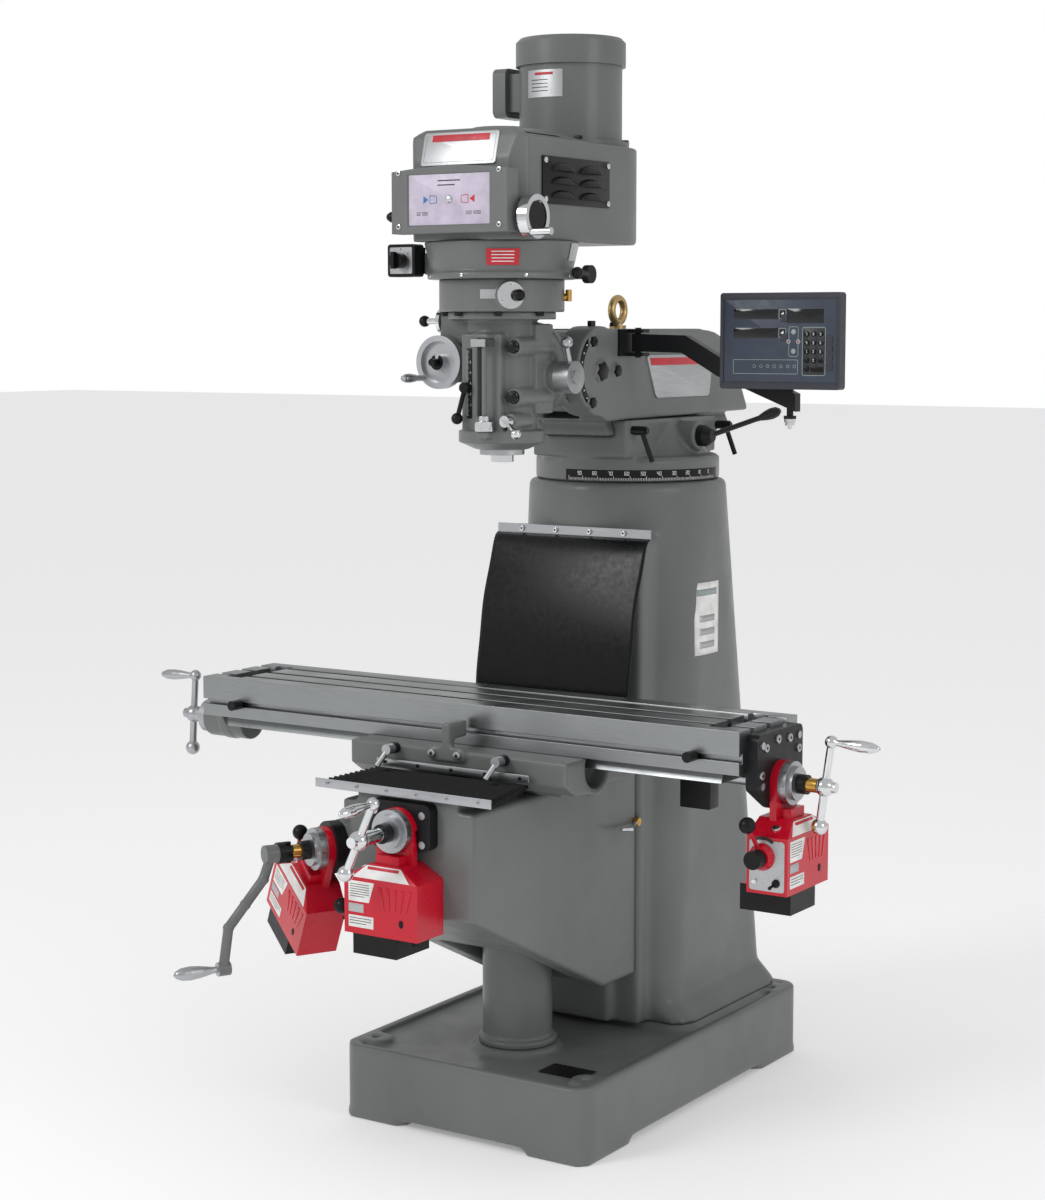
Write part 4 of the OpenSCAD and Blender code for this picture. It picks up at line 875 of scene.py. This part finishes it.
def build_scales():
    """The turret's degree scale, the dials' graduations, the quill's depth scale and the nod's arc."""
    mark, bottom = size("mark"), low("turret")[2]
    centre = np.eye(4)
    centre[:3, 3] = 0, pivot("turret_swing")[1], 0
    radius = 190.0
    f = Form().band(radius - 0.2, -100, 12, bottom + 3, bottom + 25, 0.8, centre, 0, 90)
    step = radians(1) * radius
    lines = ticks(106, step, 10, (4.5, 8), mark) - (98 * step, -(bottom + 4))
    numbers = [numeral(v, 6.5, 0.9) + (-v * radians(1) * radius, bottom + 18) for v in range(0, 100, 10)]
    f.quads(wrapped(np.concatenate([lines] + numbers), radius + 0.75), centre, 1)
    f.object("turret_scale", "turret", ["plastic", "white"])
    for side, body in (("x", "table_screw"), ("y", "y_crank"), ("z", "z_crank")):
        shaft = FEED_PLACES[side]
        dial = facing(shaft[:3, 3] + 38.3 * shaft[:3, 0], shaft[:3, 0], (0, 0, 1))
        step = tau * 40.06 / 100
        lines = ticks(100, step, 10, (4, 7.5), 0.5) + (0, 1)
        numbers = [numeral(v * 10, 3.4, 0.45) + (v * 10 * step, 11) for v in range(10)]
        Form().quads(wrapped(np.concatenate([lines] + numbers), 40.06), dial).object(
            side + "_dial_marks", body, ["dark_print"])
    nose = pivot("spindle_spin")[2]
    pad = facing((-27, pivot("feed_trip_turn")[1] + 10.15, nose + 150), (0, -1, 0))
    f = Form().slab(oblong(12, 132, 1), 0.9, pad, 0, 0.1)
    lines = ticks(62, 2, 5, (3, 5), 0.45) @ np.array([[0, 1], [1, 0]]) + (-6, -61)
    f.quads(flat(lines[:, ::-1], 0.95), pad, 1)
    f.quads(flat(np.concatenate([numeral(v, 4, 0.5) + (2.6, -60 + 20 * v) for v in range(1, 6)]), 0.95), pad, 1)
    f.object("depth_scale", "head", ["plastic", "white"])
    nod = facing((high("ram")[0] - 8, *pivot("head_nod")[1:]), (1, 0, 0))
    f = Form().band(70, 118, 242, 0, 1.2, 12, nod)
    for a in np.radians(np.arange(124, 240, 14)):
        f.turned([(0, 1.7), (0.3, 1.7), (0.4, 0.02)], shifted(nod, x=76 * cos(a), y=76 * sin(a), z=1.15), 1, 12)
    f.object("nod_scale", "ram", ["plastic", "white"])


# ---- Fasteners ----

def build_fasteners():
    """Nuts and screws, gathered by the body that they ride on."""
    side, nod = high("ram")[0] - 8, pivot("head_nod")
    belt, spindle = low("belt_housing"), pivot("spindle_spin")
    f = Form()
    for s in (1, -1):
        for y, z, r, h in ((-135, 58, 11, 9), (-138, -60, 11, 9), (-44, 0, 12, 9), (-101, 0, 19, 9)):
            f.nut(facing((s * side, y, nod[2] + z), (s, 0, 0)), r, h, 0, 12)
    f.nut(facing((78, -92, nod[2] + 86), (0, 0, 1), (0, 1, 0)), 9, 12)
    f.nut(facing((60, 20, high("ram")[2] - 1), (0, 0, 1), (0, 1, 0)), 8, 8)
    f.object("ram_bolts", "ram", ["oxide"], bevel=0.5)
    f = Form()
    for z in (44, -50):
        f.nut(facing((68, spindle[1] - 62, pivot("head_swing")[2] + z), (0, -1, 0)), 11, 15, 0)
    for y in (-345, -124):
        for z in (75, 146):
            f.screw(facing((high("louvre_panel")[0] - 8, y, belt[2] + z), (1, 0, 0)), 5.5, 3.2, 1)
    for a in (40, 130, 220, 310):
        at = (108 * cos(radians(a)), pivot("motor_spin")[1] + 108 * sin(radians(a)), low("motor")[2] + 12)
        f.nut(facing(at, (0, 0, 1), (0, 1, 0)), 8, 7, 0, a)
    for a in (-150, -105, -60, -15):
        at = (108 * cos(radians(a)), spindle[1] + 108 * sin(radians(a)), low("gear_ring")[2])
        f.nut(facing(at, (0, 0, -1), (0, 1, 0)), 8, 8, 0, a)
    for a in (-128, -88, -38, 8):
        at = (141 * cos(radians(a)), spindle[1] + 141 * sin(radians(a)), low("gear_housing")[2] + 6)
        f.screw(facing(at, (cos(radians(a)), sin(radians(a)), 0)), 3.5, 1.6, 1)
    disc = facing(pivot("back_gear_turn") + 6.05 * axis("back_gear_turn"), axis("back_gear_turn"))
    f.object("head_bolts", "head", ["oxide", "chrome"], bevel=0.4)
    f = Form()
    for a in (90, 210, 330):
        f.screw(shifted(disc, x=19 * cos(radians(a)), y=19 * sin(radians(a))), 2.6, 1.2)
    f.object("range_dial_screws", "back_gear", ["chrome", "oxide"])
    f = Form()
    for y, z in ((-58, 70), (-12, 80), (34, 76), (70, 52), (-74, 22)):
        f.screw(shifted(facing((high("table")[0] + 24, FEED_PLACES["x"][1, 3] + y,
                                FEED_PLACES["x"][2, 3] + z), (1, 0, 0))), 8, 4)
    f.object("x_plate_screws", "table", ["steel", "oxide"])
    f = Form()
    strip = low("cover_strip")
    for x in (-120, -40, 40, 120):
        f.screw(facing((x, strip[1] + 0.5, strip[2] + 9), (0, -1, 0)), 5, 2.5)
    f.object("strip_screws", "frame", ["chrome", "oxide"])
    f = Form()
    for x in (-45, 13):
        f.screw(facing((x, low("saddle")[1], 756.7), (0, -1, 0)), 8, 4)
    f.object("stop_post_screws", "saddle", ["steel", "oxide"])


# ---- Readout ----

def build_readout():
    """The readout's face: display windows, keys, number pad and a row of small signs, without lettering."""
    case_low = low("dro_console")
    centre = (0.5 * (case_low[0] + high("dro_console")[0]), case_low[1] + 2, case_low[2] + 64 + 90)
    face = facing((478, centre[1], 1529.6), (0, -1, 0))
    f = Form().slab(oblong(238, 158, 2), 0.4, face, 0, 0.1)
    on = shifted(face, z=0.4)
    for x, y, w, h in ((-50, 50, 93, 19), (-50, 15, 93, 19), (53, 46.5, 76, 27)):
        f.slab(oblong(w, h, 1), 0.4, shifted(on, x=x, y=y), 1, 0.1)
    for y in (50, 15):
        key = shifted(on, x=6, y=y)
        f.border(oblong(15, 18, 3), 1, 0.4, key, 2)
        f.slab(oblong(11, 14, 2), 1.2, key, 3, 0.4)
        f.slab(rounded([(-3, 0), (3, -4), (3, 4)], 0.3, 3), 0.3, shifted(key, z=1.2), 4, 0.05)
    f.border(oblong(20, 56, 4), 1, 0.4, shifted(on, x=29.5, y=-1), 2)
    for y in (17, -19):
        f.turned([(0, 5), (1.4, 4.7), (1.9, 3.5), (2, 0.02)], shifted(on, x=29.5, y=y), 2, 24)
    for s in (-1, 1):
        key = shifted(on, x=29.5 + 10 * s, y=-1, z=0.4)
        f.turned([(0, 4.6), (1.2, 4.3), (1.5, 0.02)], key, 2, 24)
        arrow = [(2.4 * s, 0), (-1.6 * s, 2.6), (-1.6 * s, -2.6)][::s]
        f.slab(rounded(arrow, 0.2, 3), 0.3, shifted(key, z=1.4), 5, 0.05)
    f.border(oblong(48, 90, 5), 1.2, 0.5, shifted(on, x=71.5, y=-19), 2)
    f.slab(oblong(45, 87, 4), 0.3, shifted(on, x=71.5, y=-19), 6, 0.1)
    pad = shifted(on, x=71.5, y=-19, z=0.3)
    for j, digits in enumerate(((7, 8, 9), (4, 5, 6), (1, 2, 3), (None, 0, None))):
        for i, value in enumerate(digits):
            key = shifted(pad, x=14.3 * (i - 1), y=32 - 16.2 * j)
            f.turned([(0, 5.4), (1.5, 5.1), (2, 4), (2.1, 0.02)], key, 3, 24)
            if value is not None:
                f.quads(flat(numeral(value, 4.4, 0.8), 2.15), key, 4)
    f.turned([(0, 5.4), (1.5, 5.1), (2, 4), (2.1, 0.02)], shifted(pad, x=-14.3, y=-32.8), 3, 24)
    f.slab(oblong(26, 11, 5), 2, shifted(pad, x=7, y=-32.8), 3, 0.6)
    f.border(oblong(136, 27, 3), 0.9, 0.4, shifted(on, x=-29, y=-48), 2)
    for i in range(7):
        f.border(regular(3.4, 8 - i % 3, 22), 0.8, 0.4, shifted(on, x=-52 + 14 * i, y=-47), 2)
    f.border(oblong(240, 160, 3), 2.5, 2.0, face, 7)
    names = ["panel", "glass", "grey_print", "plastic", "white", "red_print", "dark_print", "readout"]
    f.object("readout_face", "console", names)
    pivot_at = pivot("console_turn")
    foot = facing((pivot_at[0], pivot_at[1], low("dro_console")[2] + 0.5), (0, 0, -1), (0, 1, 0))
    Form().turned([(-1, 11), (7, 11), (8, 9), (13, 9), (14, 4), (20, 3.6), (21, 0.02)], foot).object(
        "readout_post_nut", "console", ["chrome"])


# ---- Power feed fittings ----

def build_feed_fittings():
    """Labels, panel, buttons, switch, plug and cable gland of each feed, in the feed's own axes."""
    for side, body in (("x", "table"), ("y", "knee"), ("z", "knee")):
        case = CASES[side]

        def on(origin, normal, up=(0, 0, 1)):
            return case @ facing(origin, normal, up)

        f = Form()
        shoulder = on((75.5, 0, -74), (26, 0, 13))
        f.slab(rounded([(-64, -12.5), (64, -12.5), (38, 12.5), (-38, 12.5)], 2), 0.6, shoulder, 0, 0.1)
        f.slab(oblong(70, 5.5, 0.4), 0.3, shifted(shoulder, y=7.5, z=0.55), 1, 0.05)
        front = on((CASE["front"], 0, 0), (1, 0, 0))
        f.slab(rounded([(-72, -130), (-26, -130), (-14, -92), (-72, -92)], 1), 0.5, front, 0, 0.1)
        f.slab(rounded([(-72, -150), (-38, -150), (-38, -134), (-72, -134)], 1), 0.5, front, 2, 0.1)
        f.slab(rounded([(-72, -178), (-16, -178), (-16, -156), (-72, -156)], 1), 0.5, front, 0, 0.1)
        rules(f, shifted(front, z=0.5), -47, -98, 42, 4.5, 6, 3)
        rules(f, shifted(front, z=0.5), -45, -161, 48, 5, 3, 3)
        f.slab(regular(6, 20) * (0.8, 1.2) + (46, -160), 1.2, front, 4, 0.3)
        for i in range(5):
            foot, tip = (8 + 12 * i, -140), (-2 + 17 * i, -98)
            rib = [(foot[0] - 1.5, foot[1]), (foot[0] + 1.5, foot[1]), (tip[0] + 5, tip[1]), (tip[0] - 3, tip[1])]
            f.slab(rounded(rib, 1), 1.0, front, 5, 0.6)
        panel = on((0, -CASE["side"], 0), (0, -1, 0))
        f.slab(rounded([(6, -184), (76, -184), (76, -92), (6, -92)], 6), 0.6, panel, 2, 0.1)
        f.band(31, 52, 128, 0.5, 0.9, 6, shifted(panel, x=32, y=-122), 3, 24)
        f.turned([(0, 5), (3, 5), (3.6, 3.4), (5, 3.2), (5.3, 0.02)], shifted(panel, x=16, y=-168), 6, 24)
        f.turned([(0, 7.5), (3, 7.5), (4, 6), (8, 5.5), (9, 0.02)], shifted(panel, x=60, y=-168), 4, 24)
        switch = shifted(panel, x=60, y=-168)
        f.rod(moved(np.array([(0, 0, 6), (-2, -3, 14), (-3, -5, 21)], float), switch), np.array((2.2, 2.6, 3.4)), 4)
        slope = on((47, -58, -74), (0, -26, 48), (0, 48, 26))
        f.turned([(0, 9), (2, 9), (2.6, 7.5), (4.5, 7), (5, 0.02)], slope, 6, 28)
        f.slab(oblong(30, 7, 1), 0.4, shifted(slope, y=13), 0, 0.1)
        below = on((52, 58, CASE["foot"]), (0, 0, -1), (1, 0, 0))
        f.turned([(-1, 9), (6, 9), (7, 7), (14, 6.5), (15, 3), (15.2, 0.02)], below, 4, 24)
        names = ["white", "red_print", "silver", "dark_print", "plastic", "red", "chrome"]
        f.object(side + "_feed_fittings", body, names)


# ---- Small fittings ----

def build_small_fittings():
    """The oil cup, the reader box behind the table, the scale bar, and the tray's strainer."""
    spindle, ring = pivot("spindle_spin"), low("gear_ring")[2]
    out = np.array((cos(radians(28)), sin(radians(28)), 0))
    cup = facing(np.array((spindle[0], spindle[1], ring + 28)) + 116 * out, out)
    Form().turned([(0, 7), (6, 7), (7, 5), (12, 5)], cup).rod(
        [cup[:3, 3] + out * 11 + (0, 0, z) for z in (-8, 0, 14)], 6).object("oil_cup", "head", ["brass"], bevel=0.8)
    back = high("table")[1]
    bar = facing((-40, back + 0.2, 802), (0, 1, 0))
    f = Form().slab(oblong(1080, 26, 3), 7, bar, 0, 1)
    for x in (-520, 520):
        f.slab(oblong(30, 34, 3), 10, shifted(bar, x=x), 1, 1)
        f.screw(shifted(bar, x=x, z=10), 4, 3)
    f.object("table_scale_bar", "table", ["satin", "oxide"])
    top = facing((343, -122, 700), (0, 0, -1), (0, 1, 0))
    f = Form().slab(oblong(66, 40, 5), 62, top, 0, 2)
    f.slab(oblong(190, 22, 3), 6, facing((283, -130, 700), (0, 0, 1), (0, 1, 0)), 0, 1)
    f.slab(oblong(26, 30, 2), 16, facing((206, -142, 706), (0, 0, 1), (0, 1, 0)), 0, 1)
    f.object("reader_box", "saddle", ["oxide"])
    tray = facing((175, -330, 138.5), (0, 0, 1), (0, 1, 0))
    f = Form().slab(oblong(96, 60, 4), 1.5, tray, 0, 0.4)
    # each hole is a shallow black dimple: painted shade for the dark space seen through it
    holes = [shifted(tray, x=x, y=y, z=1.4) for x in range(-40, 41, 10) for y in range(-22, 23, 11)]
    for hole in holes:
        f.turned([(0, 3.4), (0.4, 3.4), (0.45, 2.4), (0.2, 2.2), (0.15, 0.02)], hole, 1, 10)
    f.object("tray_strainer", "frame", ["oxide", "plastic"])


# ---- Stage ----

def looking(location, azimuth, elevation, roll=0.0):
    """A camera's place: it looks along the azimuth, and down by the elevation."""
    direction = Vector((-sin(azimuth) * cos(elevation), cos(azimuth) * cos(elevation), -sin(elevation)))
    turn = direction.to_track_quat("-Z", "Y").to_matrix().to_4x4()
    return Matrix.Translation(location) @ turn @ Matrix.Rotation(roll, 4, "Z")


def build_stage():
    """Camera, pale floor, even surroundings and soft lights."""
    scene = bpy.context.scene
    settings = scene.mill_stage
    lens = bpy.data.cameras.new("Camera")
    lens.lens, lens.sensor_width, lens.clip_end = settings.lens, 36, 60
    camera = bpy.data.objects.new("Camera", lens)
    place = Vector((2.5066, -4.0441, 1.5539))
    camera.matrix_world = looking(place, radians(33.238), radians(6.577), radians(-0.03))
    scene.collection.objects.link(camera)
    scene.camera = camera
    floor = bpy.data.meshes.new("floor")
    floor.from_pydata([(-40, -40, 0), (40, -40, 0), (40, 40, 0), (-40, 40, 0)], [], [(0, 1, 2, 3)])
    pale = bpy.data.materials.new("pale floor")
    pale.use_nodes = True
    shader = pale.node_tree.nodes["Principled BSDF"]
    shader.inputs["Base Color"].default_value = (0.93, 0.93, 0.93, 1)
    shader.inputs["Roughness"].default_value = 0.8
    shader.inputs["Emission Color"].default_value = (1, 1, 1, 1)
    shader.inputs["Emission Strength"].default_value = 0.22
    floor.materials.append(pale)
    stage = bpy.data.objects.new("floor", floor)
    scene.collection.objects.link(stage)
    world = bpy.data.worlds.new("World")
    scene.world = world
    world.use_nodes = True
    tree = world.node_tree
    sky = tree.nodes["Background"]
    sky.inputs["Color"].default_value = (1, 1, 1, 1)
    seen, level = tree.nodes.new("ShaderNodeLightPath"), tree.nodes.new("ShaderNodeMapRange")
    tree.links.new(seen.outputs["Is Camera Ray"], level.inputs["Value"])
    level.inputs["To Min"].default_value = settings.world
    level.inputs["To Max"].default_value = 1.0
    tree.links.new(level.outputs["Result"], sky.inputs["Strength"])
    scene.view_settings.view_transform = "Standard"
    aim = Vector((0, -0.1, 1.1))
    lights = (("key", (-1.9, -4.2, 3.6), 1.6, settings.key), ("fill", (4.6, -0.8, 2.6), 1.8, settings.fill))
    for name, place, across, power in lights:
        light = bpy.data.lights.new(name, "AREA")
        light.size, light.energy = across, power
        lamp = bpy.data.objects.new(name, light)
        lamp.location = place
        lamp.rotation_euler = (aim - Vector(place)).to_track_quat("-Z", "Y").to_euler()
        scene.collection.objects.link(lamp)


# ---- Operators and panel ----


class MILL_OT_castings(bpy.types.Operator):
    """Give the cast pieces a smoothed skin and grey paint"""
    bl_idname = "mill.castings"
    bl_label = "Castings"

    def execute(self, context):
        build_castings()
        return {"FINISHED"}


class MILL_OT_head_pieces(bpy.types.Operator):
    """Finish the motor, wheels, levers and quill"""
    bl_idname = "mill.head_pieces"
    bl_label = "Head Pieces"

    def execute(self, context):
        build_head_pieces()
        return {"FINISHED"}


class MILL_OT_ram_pieces(bpy.types.Operator):
    """Finish the lifting eye, the readout's arm and the turret's levers"""
    bl_idname = "mill.ram_pieces"
    bl_label = "Ram Pieces"

    def execute(self, context):
        build_ram_pieces()
        return {"FINISHED"}


class MILL_OT_feeds(bpy.types.Operator):
    """Finish the three power feeds, their levers and cranks"""
    bl_idname = "mill.feeds"
    bl_label = "Power Feeds"

    def execute(self, context):
        build_feeds()
        return {"FINISHED"}


class MILL_OT_slides(bpy.types.Operator):
    """Finish the table, its stops and the slide locks"""
    bl_idname = "mill.slides"
    bl_label = "Table and Locks"

    def execute(self, context):
        build_slides()
        return {"FINISHED"}


class MILL_OT_way_cover(bpy.types.Operator):
    """Hang the rubber sheet over the column's ways"""
    bl_idname = "mill.way_cover"
    bl_label = "Rear Way Cover"

    def execute(self, context):
        build_way_cover()
        return {"FINISHED"}


class MILL_OT_bellows(bpy.types.Operator):
    """Fold the front cover from the saddle to the knee"""
    bl_idname = "mill.bellows"
    bl_label = "Front Bellows"

    def execute(self, context):
        build_bellows()
        return {"FINISHED"}


class MILL_OT_name_plates(bpy.types.Operator):
    """Add the silver plates and small labels, without lettering"""
    bl_idname = "mill.name_plates"
    bl_label = "Plates and Labels"

    def execute(self, context):
        build_name_plates()
        return {"FINISHED"}


class MILL_OT_louvres(bpy.types.Operator):
    """Press the six louvres of the belt housing's vent plate"""
    bl_idname = "mill.louvres"
    bl_label = "Vent Louvres"

    def execute(self, context):
        build_louvres()
        return {"FINISHED"}


class MILL_OT_speed_chart(bpy.types.Operator):
    """Add the speed chart and the switch's marks"""
    bl_idname = "mill.speed_chart"
    bl_label = "Speed Chart"

    def execute(self, context):
        build_speed_chart()
        return {"FINISHED"}


class MILL_OT_scales(bpy.types.Operator):
    """Add the degree scale, dial graduations, depth scale and nod arc"""
    bl_idname = "mill.scales"
    bl_label = "Scales"

    def execute(self, context):
        build_scales()
        return {"FINISHED"}


class MILL_OT_fasteners(bpy.types.Operator):
    """Add nuts and screws"""
    bl_idname = "mill.fasteners"
    bl_label = "Fasteners"

    def execute(self, context):
        build_fasteners()
        return {"FINISHED"}


class MILL_OT_readout(bpy.types.Operator):
    """Add the readout's windows, keys and number pad"""
    bl_idname = "mill.readout"
    bl_label = "Readout Face"

    def execute(self, context):
        build_readout()
        return {"FINISHED"}


class MILL_OT_feed_fittings(bpy.types.Operator):
    """Add each power feed's labels, buttons and switch"""
    bl_idname = "mill.feed_fittings"
    bl_label = "Feed Fittings"

    def execute(self, context):
        build_feed_fittings()
        return {"FINISHED"}


class MILL_OT_small_fittings(bpy.types.Operator):
    """Add the oil cup, scale bar, reader box and tray strainer"""
    bl_idname = "mill.small_fittings"
    bl_label = "Small Fittings"

    def execute(self, context):
        build_small_fittings()
        return {"FINISHED"}


class MILL_OT_stage(bpy.types.Operator):
    """Set the camera, floor and lights"""
    bl_idname = "mill.stage"
    bl_label = "Stage"

    def execute(self, context):
        build_stage()
        return {"FINISHED"}


class MILL_PT_panel(bpy.types.Panel):
    """Lists the machine's operators and settings"""
    bl_idname = "MILL_PT_panel"
    bl_label = "Milling Machine"
    bl_space_type = "VIEW_3D"
    bl_region_type = "UI"
    bl_category = "Milling Machine"

    def draw(self, context):
        for operator in OPERATORS:
            self.layout.operator(operator.bl_idname)
        for group in (context.scene.mill_finishes, context.scene.mill_sizes, context.scene.mill_stage):
            for name in group.bl_rna.properties.keys():
                if name not in ("rna_type", "name"):
                    self.layout.prop(group, name)


OPERATORS = [
    MILL_OT_castings, MILL_OT_head_pieces, MILL_OT_ram_pieces, MILL_OT_feeds,
    MILL_OT_slides, MILL_OT_way_cover, MILL_OT_bellows, MILL_OT_name_plates,
    MILL_OT_louvres, MILL_OT_speed_chart, MILL_OT_scales, MILL_OT_fasteners,
    MILL_OT_readout, MILL_OT_feed_fittings, MILL_OT_small_fittings, MILL_OT_stage,
]
SETTINGS = {"mill_finishes": MachineFinishes, "mill_sizes": MachineSizes, "mill_stage": MachineStage}


def register():
    for cls in [*SETTINGS.values(), *OPERATORS, MILL_PT_panel]:
        bpy.utils.register_class(cls)
    for name, cls in SETTINGS.items():
        setattr(bpy.types.Scene, name, bpy.props.PointerProperty(type=cls))


def unregister():
    for name in SETTINGS:
        delattr(bpy.types.Scene, name)
    for cls in [MILL_PT_panel, *reversed(OPERATORS), *SETTINGS.values()]:
        bpy.utils.unregister_class(cls)


def main():
    register()
    for operator in OPERATORS:
        group, name = operator.bl_idname.split(".")
        getattr(getattr(bpy.ops, group), name)()


if __name__ == "__main__":
    main()
